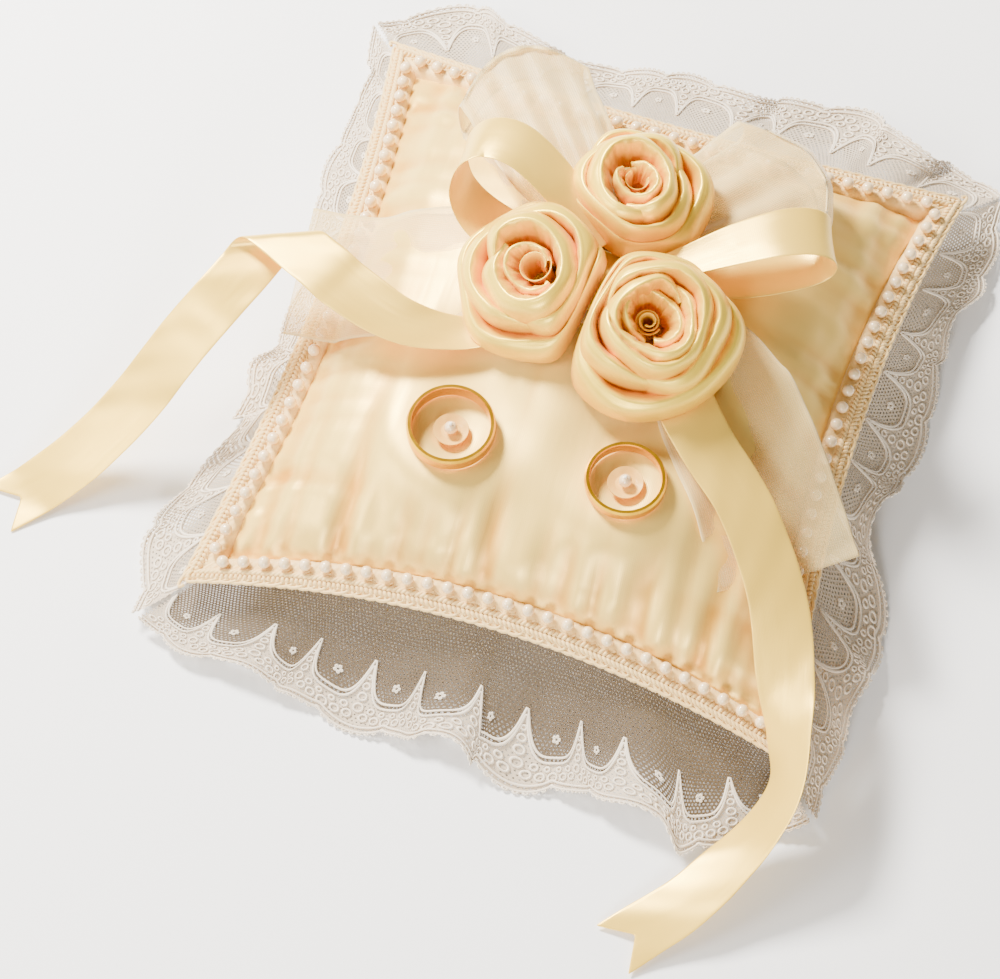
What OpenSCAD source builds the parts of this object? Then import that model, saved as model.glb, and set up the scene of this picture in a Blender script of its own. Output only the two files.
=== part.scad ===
// Ring bearer pillow: a stuffed satin pillow with a pearl braid, a lace ruffle,
// a double bow, three ribbon roses and two finger rings laid round sewn pearls.
// Millimetres. Origin at the middle of the flat underside, +X to the right,
// +Y to the back, +Z up.

/* [Pillow] */
// Width of the pillow across its corners, left to right
pillow_w = 145; // [130:1:165]
// Depth of the pillow across its corners, front to back
pillow_d = 154; // [140:1:170]
// How far the middle of each edge is pulled in by the filling
edge_pull = 8; // [4:0.5:10]
// Height of the seam at the four corners
seam_corner_z = 12; // [10:0.5:14]
// Height of the seam at the middle of an edge
seam_mid_z = 22; // [19:0.5:23]
// Rise of the top panel above its seam
crown_rise = 23; // [21:0.5:24]
// Drop of the underside below its seam, more than the seam height so that it rests flat
belly_drop = 26; // [24:0.5:30]
// Thickness of a satin panel with its interlining
panel_t = 0.8; // [0.6:0.1:1.2]
// Cells across a panel
panel_cells = 22; // [16:2:24]

/* [Lace] */
// Reach of the lace past the front seam
lace_front_reach = 34; // [28:1:38]
// Reach of the lace past the right seam
lace_right_reach = 18; // [16:1:24]
// Reach of the lace past the back seam
lace_back_reach = 32; // [26:1:36]
// Reach of the lace past the left seam
lace_left_reach = 16; // [14:1:22]
// Reach of the lace past a corner, along each side
lace_corner_reach = 22; // [18:1:24]
// Height of a flute at the hem
flute_lift = 7; // [4:0.5:8]
// Flutes along one side
flutes = 6; // [5:1:7]
// Thickness of the lace
lace_t = 0.5; // [0.4:0.1:0.6]

/* [Pearl braid] */
// Width of the braid
braid_w = 7.4; // [6:0.2:8]
// Thickness of the braid
braid_t = 1.5; // [1:0.1:1.6]
// Diameter of a trim pearl
pearl_d = 3.2; // [2.6:0.1:3.4]
// Pearls along the front or the back
pearls_across = 28; // [24:1:30]
// Pearls along the left or the right side
pearls_deep = 30; // [26:1:32]

/* [Bow] */
// Width of the satin ribbon
satin_w = 15; // [12:0.5:16]
// Thickness of a satin ribbon
satin_t = 0.5; // [0.4:0.05:0.6]
// Width of the sheer ribbon
sheer_w = 38; // [32:1:40]
// Thickness of the sheer ribbon
sheer_t = 0.4; // [0.3:0.05:0.5]

/* [Roses] */
// Height of a rose above the bow
rose_h = 17; // [14:0.5:19]
// Thickness of a folded petal strip
petal_t = 1.1; // [0.9:0.1:1.4]

/* [Rings] */
// Inside diameter of the larger ring
large_ring_bore = 19.8; // [18:0.1:22]
// Inside diameter of the smaller ring
small_ring_bore = 17.9; // [15:0.1:18.5]
// Thickness of a ring's wall
ring_wall = 1.3; // [1:0.1:1.6]
// Width of the larger band
large_band_w = 4.4; // [3:0.1:5]
// Width of the smaller band
small_band_w = 3.6; // [3:0.1:5]
// Diameter of a sewn pearl inside a ring
anchor_pearl_d = 3.4; // [3:0.1:4]

/* [Hidden] */
SIDES = ["front", "right", "back", "left"];
ROSES = ["left", "back", "front"];

satin = [0.97, 0.88, 0.72];
rose_satin = [0.99, 0.82, 0.52];
sheer = [0.96, 0.90, 0.76];
lace_white = [0.95, 0.93, 0.89];
pearl_white = [0.98, 0.95, 0.88];
gold = [0.90, 0.68, 0.25];

half_w = pillow_w / 2;
half_d = pillow_d / 2;
// Free space between two pieces sewn one over the other
gap = 0.15;
// Free space round the filling
filling_gap = 2;
// Half the slot in the seam that holds the lace heading
seam_slot = lace_t / 2 + 0.1;
// Exponent of the crown: an ellipse is 0.5
crown_power = 0.48;

// Where each ring lies, and the level of the fabric under it
large_seat = [-23.5, -37];
small_seat = [22.3, -37.6];
seat_z = 41.5;
seat_r = 15;
seat_blend = 10;
// Clearance under a ring
ring_gap = 0.45;

// ---- Pillow surface -------------------------------------------------------
// s and t run from -1 to 1 across the width and the depth; out widens the outline.
function outline_x(s, t, out = 0) = s * (half_w + out - edge_pull * (1 - t * t));
function outline_y(s, t, out = 0) = t * (half_d + out - edge_pull * (1 - s * s));
function seam_z(s, t) = seam_corner_z + (seam_mid_z - seam_corner_z) * (1 - s * s * t * t);
function crown(s, t) = pow(max(0, (1 - s * s) * (1 - t * t)), crown_power);
function smooth(x) = x <= 0 ? 0 : x >= 1 ? 1 : x * x * (3 - 2 * x);
function seat_weight(x, y, seat) = 1 - smooth((norm([x, y] - seat) - seat_r) / seat_blend);
// Level of the lower side of the top panel
function top_inner_z(s, t) =
    let (x = outline_x(s, t), y = outline_y(s, t))
    let (w = max(seat_weight(x, y, large_seat), seat_weight(x, y, small_seat)))
    (1 - w) * (seam_z(s, t) + seam_slot + crown_rise * crown(s, t)) + w * (seat_z - panel_t);
function bottom_inner_z(s, t) = max(seam_z(s, t) - seam_slot - belly_drop * crown(s, t), panel_t);
function bottom_outer_z(s, t) = max(seam_z(s, t) - seam_slot - belly_drop * crown(s, t) - panel_t, -0.5);

// Cell borders, closer together near the seam
function spaced(i, cells, limit) = limit * sin(90 * (2 * i / cells - 1));

// Closed solid between an upper and a lower level on one grid
module between(upper, lower, cells, limit = 1) {
    n = cells + 1;
    grid = [for (j = [0:cells]) for (i = [0:cells]) [spaced(i, cells, limit), spaced(j, cells, limit)]];
    tops = [for (p = grid) [outline_x(p[0], p[1]), outline_y(p[0], p[1]), upper(p[0], p[1])]];
    lows = [for (p = grid) [outline_x(p[0], p[1]), outline_y(p[0], p[1]), lower(p[0], p[1])]];
    rim = concat(
        [for (i = [0:cells - 1]) i],
        [for (j = [0:cells - 1]) j * n + cells],
        [for (i = [0:cells - 1]) n * n - 1 - i],
        [for (j = [0:cells - 1]) (cells - j) * n]
    );
    faces = concat(
        [for (j = [0:cells - 1]) for (i = [0:cells - 1]) each
            let (a = j * n + i) [[a, a + n, a + 1], [a + 1, a + n, a + n + 1]]],
        [for (j = [0:cells - 1]) for (i = [0:cells - 1]) each
            let (a = n * n + j * n + i) [[a, a + 1, a + n], [a + 1, a + n + 1, a + n]]],
        [for (k = [0:len(rim) - 1]) each
            let (a = rim[k], b = rim[(k + 1) % len(rim)])
            [[a, b, a + n * n], [b, b + n * n, a + n * n]]]
    );
    polyhedron(concat(tops, lows), faces);
}

// Level of anything laid on the pillow or on its braid at x, y
function near_t(y, s) = y / (half_d - edge_pull * (1 - s * s));
function near_s(x, t) = x / (half_w - edge_pull * (1 - t * t));
function rest_z(x, y) =
    let (t0 = near_t(y, 0.5), s = near_s(x, t0), t = near_t(y, s))
    let (sc = max(-1, min(1, s)), tc = max(-1, min(1, t)))
    let (edge = max(abs(s), abs(t)))
    max(top_inner_z(sc, tc) + panel_t, edge > 0.93 ? seam_z(sc, tc) + trim_h : 0);
// Height of the braid with its pearls above the seam
trim_h = 7;

// ---- Sweeps ---------------------------------------------------------------
function mix(a, b, x) = a + (b - a) * x;
function unit(v) = v / norm(v);
// Smooth curve through the points p, evaluated in the span that starts at i
function through(p, i, x) =
    let (a = p[max(i - 1, 0)], b = p[i], c = p[i + 1], d = p[min(i + 2, len(p) - 1)])
    0.5 * (2 * b + (c - a) * x + (2 * a - 5 * b + 4 * c - d) * x * x + (3 * b - a - 3 * c + d) * x * x * x);
function smooth_route(p, steps) = concat(
    [for (i = [0:len(p) - 2]) for (k = [0:steps - 1]) through(p, i, k / steps)],
    [p[len(p) - 1]]
);

// Closed strip through a grid of points, rows of equal length, thickened along z
module sheet(rows, thick) {
    n = len(rows[0]);
    m = len(rows);
    flat = [for (row = rows) each row];
    up = [for (p = flat) p + [0, 0, thick / 2]];
    down = [for (p = flat) p - [0, 0, thick / 2]];
    slab(up, down, n, m);
}

// Closed solid between two grids of points with the same rows
module slab(up, down, n, m) {
    total = n * m;
    rim = concat(
        [for (i = [0:n - 2]) i],
        [for (j = [0:m - 2]) j * n + n - 1],
        [for (i = [0:n - 2]) total - 1 - i],
        [for (j = [0:m - 2]) (m - 1 - j) * n]
    );
    faces = concat(
        [for (j = [0:m - 2]) for (i = [0:n - 2]) each
            let (a = j * n + i) [[a, a + n, a + 1], [a + 1, a + n, a + n + 1]]],
        [for (j = [0:m - 2]) for (i = [0:n - 2]) each
            let (a = total + j * n + i) [[a, a + 1, a + n], [a + 1, a + n + 1, a + n]]],
        [for (k = [0:len(rim) - 1]) each
            let (a = rim[k], b = rim[(k + 1) % len(rim)])
            [[a, b, a + total], [b, b + total, a + total]]]
    );
    polyhedron(concat(up, down), faces);
}

// Ribbon along a route of [point, width direction] pairs
module ribbon(route, width, thick, steps = 4) {
    line = smooth_route([for (r = route) r[0]], steps);
    across = smooth_route([for (r = route) unit(r[1])], steps);
    last = len(line) - 1;
    ahead = [for (i = [0:last]) unit(line[min(i + 1, last)] - line[max(i - 1, 0)])];
    side = [for (i = [0:last]) unit(across[i] - ahead[i] * (across[i] * ahead[i]))];
    face = [for (i = [0:last]) cross(side[i], ahead[i])];
    up = [for (i = [0:last]) each [for (k = [-1, 1])
        line[i] + side[i] * k * width / 2 + face[i] * thick / 2]];
    down = [for (i = [0:last]) each [for (k = [-1, 1])
        line[i] + side[i] * k * width / 2 - face[i] * thick / 2]];
    slab(up, down, 2, last + 1);
}

// Sheer ribbon laid on the pillow: a run of centres and headings, kept on the fabric
module laid_sheer(centres, lift) {
    line = smooth_route(centres, 3);
    last = len(line) - 1;
    rows = [for (i = [0:last])
        let (h = unit(line[min(i + 1, last)] - line[max(i - 1, 0)]))
        [for (k = [-6:6])
            let (x = line[i][0] - h[1] * k * sheer_w / 12, y = line[i][1] + h[0] * k * sheer_w / 12)
            [x, y, rest_z(x, y) + lift]]];
    sheet(rows, sheer_t);
}

// ---- Pillow ---------------------------------------------------------------
module pillow_top_panel() {
    color(satin)
    between(function (s, t) top_inner_z(s, t) + panel_t, function (s, t) top_inner_z(s, t), panel_cells);
}

module pillow_bottom_panel() {
    color(satin)
    intersection() {
        between(function (s, t) bottom_inner_z(s, t), function (s, t) bottom_outer_z(s, t), panel_cells);
        translate([-pillow_w, -pillow_d, 0]) cube([2 * pillow_w, 2 * pillow_d, 60]);
    }
}

module pillow_filling() {
    color("white")
    between(
        function (s, t) top_inner_z(s, t) - filling_gap,
        function (s, t) bottom_inner_z(s, t) + filling_gap,
        14, 0.96
    );
}

// ---- Lace -----------------------------------------------------------------
function reach(side) = [lace_front_reach, lace_right_reach, lace_back_reach, lace_left_reach][side];
// Share of the lace's depth that lies level in the seam
heading_v = 0.07;
// Point of the lace at u along the side (-1 to 1) and v from the seam (0) to the hem (1),
// for a side whose half length is along and whose half distance from the middle is away
function lace_point(u, v, along, away, side_reach) =
    let (out = mix(side_reach, lace_corner_reach, pow(u, 4)))
    let (calm = 1 - pow(u, 6), turn = 180 * flutes * (u + 1))
    let (x = u * (along - 1 + v * (lace_corner_reach + 1)))
    let (y = away - 1 - edge_pull * (1 - u * u) * (1 - 0.5 * v) + v * (out + 1) + 2.5 * v * v * calm * sin(turn))
    let (drop = max(0, v - heading_v) / (1 - heading_v))
    let (z = (seam_corner_z + (seam_mid_z - seam_corner_z) * (1 - u * u)) * pow(1 - drop, 1.4))
    [x, -y, z + v * lace_t / 2 + flute_lift * drop * calm * (0.5 - 0.5 * cos(turn))];

module lace(side) {
    along = side % 2 == 0 ? half_w : half_d;
    away = side % 2 == 0 ? half_d : half_w;
    columns = 8 * flutes;
    // The ends stop just short of the mitre so that neighbours never touch
    ends = 1 - 0.3 / along;
    color(lace_white)
    rotate([0, 0, 90 * side])
    sheet(
        [for (v = [1, 0.84, 0.68, 0.52, 0.36, 0.2, heading_v, 0]) [for (i = [0:columns])
            lace_point(ends * (2 * i / columns - 1), v, along, away, reach(side))]],
        lace_t
    );
}

// ---- Braid and pearls -----------------------------------------------------
// Point beside the seam of a side, out from it and up from it
function beside_seam(u, along, away, out, up) = [
    u * (along + out),
    -(away + out - edge_pull * (1 - u * u)),
    seam_corner_z + (seam_mid_z - seam_corner_z) * (1 - u * u) + up
];

module braid(side) {
    along = side % 2 == 0 ? half_w : half_d;
    away = side % 2 == 0 ? half_d : half_w;
    ends = 1 - 0.3 / along;
    // The band slopes down and outward from its inner border
    corners = [[0.6, 3.2], [0.6 + braid_w, 0.4]];
    up = [for (i = [-12:12]) each [for (c = corners) beside_seam(ends * i / 12, along, away, c[0], c[1])]];
    down = [for (p = up) p - [0, 0, braid_t]];
    color(satin)
    rotate([0, 0, 90 * side]) slab(up, down, 2, 25);
}

module trim_pearls(side) {
    along = side % 2 == 0 ? half_w : half_d;
    away = side % 2 == 0 ? half_d : half_w;
    count = side % 2 == 0 ? pearls_across : pearls_deep;
    color(pearl_white)
    rotate([0, 0, 90 * side])
    for (i = [0:count - 1])
        translate(beside_seam(0.985 * (2 * (i + 0.5) / count - 1), along, away, 2.2, 2.9 + pearl_d / 2))
            sphere(d = pearl_d, $fn = 24);
}

// ---- Bow ------------------------------------------------------------------
// Levels of the layers of the bow over the middle of the pillow
sheer_z = 47.2;
satin_z = 49.2;
rose_z = 51.4;
bow_x = 2;
bow_y = 12;

// Drop-shaped band, its narrow open end at the origin, standing in the XZ plane
module drop_loop(length, height, width, thick) {
    rotate([90, 0, 0])
    linear_extrude(width, center = true)
    polygon(concat(
        drop_line(length, height / 2, thick),
        [for (i = [loop_arcs + 2:-1:0]) drop_line(length, height / 2, -thick)[i]]
    ));
}

// Straight pieces in the round end of a loop
loop_arcs = 28;
// Half the opening at the narrow end of a loop
loop_mouth = 1;
// One face of the band: thick is its thickness, positive for the outer face
function drop_line(length, r, thick) =
    let (lean = atan2(r - loop_mouth, length - r), rim = r + (thick - abs(thick)) / 2)
    concat(
        [[0, -loop_mouth - thick / 2]],
        [for (i = [0:loop_arcs])
            let (a = mix(-90 - lean, 90 + lean, i / loop_arcs))
            [length - r + rim * cos(a), rim * sin(a)]],
        [[0, loop_mouth + thick / 2]]
    );

module satin_loop_left() {
    color(satin)
    translate([-13.5, 27, satin_z + 7.5])
    rotate([0, -12, 176])
    rotate([0, -6, 0])
    drop_loop(33, 19, satin_w, satin_t);
}

module satin_loop_right() {
    color(satin)
    translate([25, 21.5, satin_z + 3])
    rotate([0, -8, 30])
    drop_loop(31, 14, satin_w, satin_t);
}

module satin_knot() {
    color(satin)
    translate([bow_x, bow_y, satin_z])
    linear_extrude(1.8, center = true)
    square([7, 12], center = true);
}

module satin_root_left() {
    color(satin)
    ribbon([
        [[-5.5, 8.5, satin_z], [0.3, 1, 0]],
        [[-10, 2.5, 49], [0.3, 1, 0]],
        [[-17, -6, 48.4], [0.25, 1, 0]],
        [[-24, -11, 47.5], [0.1, 1, 0]],
        [[-27.5, -12.3, 47.1], [0.07, 1, 0]],
        [[-31.2, -12.8, 46.7], [0.07, 1, 0]]
    ], satin_w, satin_t);
}

module satin_root_right() {
    color(satin)
    ribbon([
        [[10.5, 8.5, satin_z], [0.4, 0.9, 0]],
        [[16, 4.5, 49], [0.5, 0.9, 0]],
        [[22, -1, 48.6], [0.8, 0.5, 0]],
        [[26.6, -7.2, 47.5], [0.89, 0.45, 0]],
        [[28.3, -10.5, 46.9], [0.89, 0.45, 0]],
        [[29.8, -13.4, 46.3], [0.89, 0.45, 0]]
    ], satin_w, satin_t);
}

module satin_tail_left() {
    color(satin)
    ribbon([
        [[-32, -12.8, 46.6], [0.07, 1, 0]],
        [[-36, -13.2, 46.4], [0.07, 1, 0]],
        [[-47, -12.5, 46], [0.15, 1, 0]],
        [[-60, -8.5, 45.5], [0.2, 1, 0.05]],
        [[-73, -4.5, 44.5], [-0.1, 1, 0.1]],
        [[-85, -7.5, 41.5], [-0.6, 0.8, 0.1]],
        [[-94, -19, 35], [-0.85, 0.5, 0.05]],
        [[-102, -33, 26], [-0.85, 0.5, 0]],
        [[-111, -47, 16], [-0.85, 0.5, 0]],
        [[-121, -61, 6.5], [-0.85, 0.5, 0]],
        [[-129, -71, 2.2], [-0.85, 0.5, 0]],
        [[-135, -78, 0.8], [-0.85, 0.5, 0]]
    ], satin_w, satin_t, 5);
}

module satin_tail_right() {
    color(satin)
    ribbon([
        [[30.3, -14.4, 46.1], [0.89, 0.45, 0]],
        [[32.5, -18.8, 45.9], [0.89, 0.45, 0]],
        [[38, -28, 44.9], [0.85, 0.5, 0]],
        [[54, -44, 38], [0.65, 0.75, 0]],
        [[69, -57, 30.5], [0.7, 0.7, 0.1]],
        [[78.5, -68, 25], [0.85, 0.45, 0.15]],
        [[84, -80, 18], [1, 0.1, 0.15]],
        [[84.5, -91, 13], [1, -0.1, 0.2]],
        [[81, -102, 9], [0.95, -0.25, 0.1]],
        [[74.5, -113.5, 6.8], [0.85, -0.35, 0]],
        [[67, -126, 2.4], [0.85, -0.4, 0]],
        [[60, -139, 0.8], [0.85, -0.4, 0]]
    ], satin_w, satin_t, 5);
}

module sheer_loop_left() {
    color(sheer)
    translate([-10, 26, sheer_z + 2])
    rotate([0, 8, 128])
    drop_loop(68, 13, sheer_w - 6, sheer_t);
}

module sheer_loop_right() {
    color(sheer)
    translate([15, 34, sheer_z + 1])
    rotate([0, 10, 38])
    drop_loop(46, 11, sheer_w - 6, sheer_t);
}

module sheer_knot() {
    color(sheer)
    translate([bow_x, bow_y, sheer_z])
    linear_extrude(1, center = true)
    square([12, 14], center = true);
}

module sheer_tail_left() {
    color(sheer)
    laid_sheer([[-18, 10], [-32, 8], [-47, 5], [-62, 3], [-76, 1]], 0.6);
}

module sheer_tail_right() {
    color(sheer)
    laid_sheer([[30, 3], [38, -6], [47, -17], [57, -29], [66, -42]], 0.6);
}

// ---- Roses ----------------------------------------------------------------
rose_centre = [[-14, 4.5], [4.5, 31], [15.5, -3]];
rose_size = [15.2, 15.6, 15.2];
rose_lean = [[8, -8], [-8, -2], [8, 8]];

module on_rose(k) {
    translate([rose_centre[k][0], rose_centre[k][1], rose_z + 1.2])
    rotate([rose_lean[k][0], rose_lean[k][1], 0])
    scale(rose_size[k] / 15)
    children();
}

// Rolled strip at the heart of a rose
module rose_bud(k) {
    color(rose_satin)
    on_rose(k)
    rotate_extrude($fn = 48)
    polygon([[1.2, 0], [3.6, 0], [4.6, 6], [4.8, 10], [3.9, 12.5], [2.4, 12.8], [1.6, 11.5], [1.2, 8]]);
}

// Folded strip that goes most of the way round, from r_low at its foot to r_high at its lip
module wrap(k, r_low, r_high, foot, lip, start, sweep) {
    color(rose_satin)
    on_rose(k)
    rotate([0, 0, start])
    rotate_extrude(angle = sweep, $fn = 64)
    polygon([
        [r_low, foot], [r_low + petal_t, foot],
        [mix(r_low, r_high, 0.75) + petal_t, mix(foot, lip, 0.5)],
        [r_high + petal_t, lip - 1.5], [r_high + petal_t * 1.3, lip - 0.4],
        [r_high + petal_t * 0.8, lip], [r_high, lip - 0.5],
        [mix(r_low, r_high, 0.75), mix(foot, lip, 0.5)]
    ]);
}

module inner_wrap(k) { wrap(k, 4.6, 7.2, 0.4, rose_h - 2.5, 40 + 120 * k, 345); }
module middle_wrap(k) { wrap(k, 6.4, 10.4, 0.2, rose_h - 3.5, 150 + 120 * k, 345); }
module outer_wrap(k) { wrap(k, 8.2, 13.6, 0, rose_h - 6, 260 + 120 * k, 345); }

// ---- Ring anchors and rings -----------------------------------------------
module at_seat(seat, z) {
    translate([seat[0], seat[1], z]) children();
}

// Cup sequin under a sewn pearl
module anchor_sequin(seat) {
    color("ivory")
    at_seat(seat, seat_z + gap)
    rotate_extrude($fn = 48)
    polygon([[0.5, 0], [2.6, 0], [4.5, 1], [4.4, 1.25], [2.5, 0.3], [0.5, 0.3]]);
}

module anchor_pearl(seat) {
    color(pearl_white)
    at_seat(seat, seat_z + gap + 0.4 + anchor_pearl_d / 2)
    difference() {
        sphere(d = anchor_pearl_d, $fn = 48);
        cylinder(d = 0.9, h = anchor_pearl_d * 2, center = true, $fn = 24);
    }
}

// Thread through the pearl and the sequin, knotted above the pearl
module anchor_thread(seat) {
    color("ivory")
    at_seat(seat, seat_z + gap)
    union() {
        cylinder(d = 0.6, h = anchor_pearl_d + 0.5, $fn = 24);
        translate([0, 0, anchor_pearl_d + 0.7]) sphere(d = 1, $fn = 24);
    }
}

module ring(seat, bore, band_w) {
    r = bore / 2;
    color(gold)
    at_seat(seat, seat_z + ring_gap)
    rotate_extrude($fn = 96)
    polygon([
        [r + 0.15, 0], [r + ring_wall - 0.4, 0], [r + ring_wall, 0.7],
        [r + ring_wall, band_w - 0.7], [r + ring_wall - 0.4, band_w],
        [r + 0.15, band_w], [r, band_w - 0.3], [r, 0.3]
    ]);
}

pillow_top_panel();
pillow_bottom_panel();
pillow_filling();
for (k = [0:3]) lace(k);
for (k = [0:3]) braid(k);
for (k = [0:3]) trim_pearls(k);
sheer_loop_left();
sheer_loop_right();
sheer_knot();
sheer_tail_left();
sheer_tail_right();
satin_loop_left();
satin_loop_right();
satin_knot();
satin_root_left();
satin_root_right();
satin_tail_left();
satin_tail_right();
for (k = [0:2]) rose_bud(k);
for (k = [0:2]) inner_wrap(k);
for (k = [0:2]) middle_wrap(k);
for (k = [0:2]) outer_wrap(k);
anchor_sequin(large_seat);  // anchor_sequin_left
anchor_sequin(small_seat);  // anchor_sequin_right
anchor_pearl(large_seat);  // anchor_pearl_left
anchor_pearl(small_seat);  // anchor_pearl_right
anchor_thread(large_seat);  // anchor_thread_left
anchor_thread(small_seat);  // anchor_thread_right
ring(large_seat, large_ring_bore, large_band_w);  // ring_large
ring(small_seat, small_ring_bore, small_band_w);  // ring_small
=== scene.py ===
"""Ring bearer pillow: satin, lace, ribbon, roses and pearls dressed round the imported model.

Sizes are in millimetres until a mesh is finished. The origin is the middle of the flat
underside, +X runs right along the front edge, +Y runs back to the bow and +Z is up.
"""

import logging
import math
from dataclasses import dataclass
from enum import Enum
from typing import Callable, Sequence

import bmesh
import bpy
import numpy as np
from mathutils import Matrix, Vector


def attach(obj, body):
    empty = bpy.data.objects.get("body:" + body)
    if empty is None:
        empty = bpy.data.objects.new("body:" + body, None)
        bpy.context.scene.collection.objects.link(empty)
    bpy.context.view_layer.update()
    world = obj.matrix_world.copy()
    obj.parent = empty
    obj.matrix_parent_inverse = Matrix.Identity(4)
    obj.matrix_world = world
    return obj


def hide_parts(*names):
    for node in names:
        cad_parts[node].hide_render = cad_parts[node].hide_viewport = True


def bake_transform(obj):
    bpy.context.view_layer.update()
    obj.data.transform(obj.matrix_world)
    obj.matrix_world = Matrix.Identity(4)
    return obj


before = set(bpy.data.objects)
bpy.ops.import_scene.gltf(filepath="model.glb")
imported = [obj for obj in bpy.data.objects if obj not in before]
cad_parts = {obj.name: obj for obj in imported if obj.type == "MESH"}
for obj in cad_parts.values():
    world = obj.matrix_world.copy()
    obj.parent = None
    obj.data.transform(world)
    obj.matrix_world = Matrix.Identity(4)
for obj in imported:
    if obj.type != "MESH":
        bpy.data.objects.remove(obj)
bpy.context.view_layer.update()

LOG = logging.getLogger("ring_pillow")
MM = 0.001
ROOT = "pillow"
KNOT = (2.0, 12.0)
BRAID_TOP = 7.0
Array = np.ndarray


# ---- Small helpers --------------------------------------------------------
def smooth(x: Array) -> Array:
    """Ease from 0 to 1 with level ends."""
    x = np.clip(x, 0.0, 1.0)
    return x * x * (3 - 2 * x)


def unit(v: Array) -> Array:
    """Rows of v at length one."""
    return v / np.maximum(np.linalg.norm(v, axis=-1, keepdims=True), 1e-9)


def turned(points: Array, tilt: float, turn: float) -> Array:
    """Points turned about Y by tilt, then about Z by turn.

    Args:
        points: rows of x, y, z.
        tilt: degrees about Y.
        turn: degrees about Z.

    Returns:
        The turned rows.
    """
    a, b = math.radians(tilt), math.radians(turn)
    about_y = np.array([[math.cos(a), 0, math.sin(a)], [0, 1, 0], [-math.sin(a), 0, math.cos(a)]])
    about_z = np.array([[math.cos(b), -math.sin(b), 0], [math.sin(b), math.cos(b), 0], [0, 0, 1]])
    return points @ (about_z @ about_y).T


def waves(x: Array, seed: int, lengths: Sequence[float]) -> Array:
    """Sum of sines of several wave lengths with seeded phases, about -1 to 1."""
    rng = np.random.default_rng(seed)
    total = np.zeros_like(x)
    for length in lengths:
        total += np.sin(2 * math.pi * x / length + rng.uniform(0, 2 * math.pi))
    return total / len(lengths)


def coordinates(mesh: bpy.types.Mesh) -> Array:
    """Rows of a mesh's vertex coordinates."""
    flat = np.empty(len(mesh.vertices) * 3)
    mesh.vertices.foreach_get("co", flat)
    return flat.reshape(-1, 3)


def grid_mesh(columns: int, rows: int) -> bmesh.types.BMesh:
    """Flat grid over -1 to 1 both ways."""
    bm = bmesh.new()
    bmesh.ops.create_grid(bm, x_segments=columns, y_segments=rows, size=1.0)
    return bm


def lay_uv(bm: bmesh.types.BMesh, width: float, length: float) -> None:
    """Write the flat place of each vertex, in metres of cloth, as the piece's UV map."""
    layer = bm.loops.layers.uv.new("cloth")
    for face in bm.faces:
        for loop in face.loops:
            x, y = loop.vert.co.x, loop.vert.co.y
            loop[layer].uv = ((x + 1) / 2 * width * MM, (y + 1) / 2 * length * MM)


def shape(bm: bmesh.types.BMesh, place: Callable[[Array], Array]) -> None:
    """Move every vertex from its flat place to its real one, in millimetres."""
    flat = np.array([v.co[:] for v in bm.verts])
    for vert, point in zip(bm.verts, place(flat)):
        vert.co = point


def to_object(bm: bmesh.types.BMesh, name: str) -> bpy.types.Object:
    """Scale a bmesh in millimetres to metres, link it as an object and shade it smooth."""
    bmesh.ops.scale(bm, vec=(MM, MM, MM), verts=bm.verts)
    for face in bm.faces:
        face.smooth = True
    mesh = bpy.data.meshes.new(name)
    bm.to_mesh(mesh)
    bm.free()
    obj = bpy.data.objects.new(name, mesh)
    bpy.context.scene.collection.objects.link(obj)
    return obj


def applied(obj: bpy.types.Object) -> None:
    """Replace an object's mesh by the result of its modifiers."""
    graph = bpy.context.evaluated_depsgraph_get()
    mesh = bpy.data.meshes.new_from_object(obj.evaluated_get(graph), depsgraph=graph)
    old = obj.data
    obj.modifiers.clear()
    obj.data = mesh
    bpy.data.meshes.remove(old)


def subdivide(obj: bpy.types.Object, levels: int) -> None:
    """Add a Subdivision Surface modifier of the same level in view and render."""
    modifier = obj.modifiers.new("smooth", "SUBSURF")
    modifier.levels = levels
    modifier.render_levels = levels


def thicken(obj: bpy.types.Object, thickness: float) -> None:
    """Add a Solidify modifier, half the thickness on each side."""
    modifier = obj.modifiers.new("cloth", "SOLIDIFY")
    modifier.thickness = thickness * MM
    modifier.offset = 0.0


def tubes(name: str, paths: Sequence[Array], radius: float, closed: bool = False) -> bmesh.types.BMesh:
    """Round cords of one radius along several paths.

    Args:
        name: name of the scratch curve.
        paths: rows of points in millimetres, one array per cord.
        radius: half the cord's thickness.
        closed: whether each cord joins its own start.

    Returns:
        A bmesh in millimetres.
    """
    curve = bpy.data.curves.new(name, "CURVE")
    curve.dimensions = "3D"
    curve.bevel_depth = radius
    curve.bevel_resolution = 1
    curve.use_fill_caps = not closed
    for path in paths:
        spline = curve.splines.new("POLY")
        spline.points.add(len(path) - 1)
        flat = np.ones((len(path), 4))
        flat[:, :3] = path
        spline.points.foreach_set("co", flat.ravel())
        spline.use_cyclic_u = closed
    obj = bpy.data.objects.new(name, curve)
    bpy.context.scene.collection.objects.link(obj)
    mesh = bpy.data.meshes.new_from_object(obj)
    bm = bmesh.new()
    bm.from_mesh(mesh)
    bpy.data.objects.remove(obj)
    bpy.data.curves.remove(curve)
    bpy.data.meshes.remove(mesh)
    return bm


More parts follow.
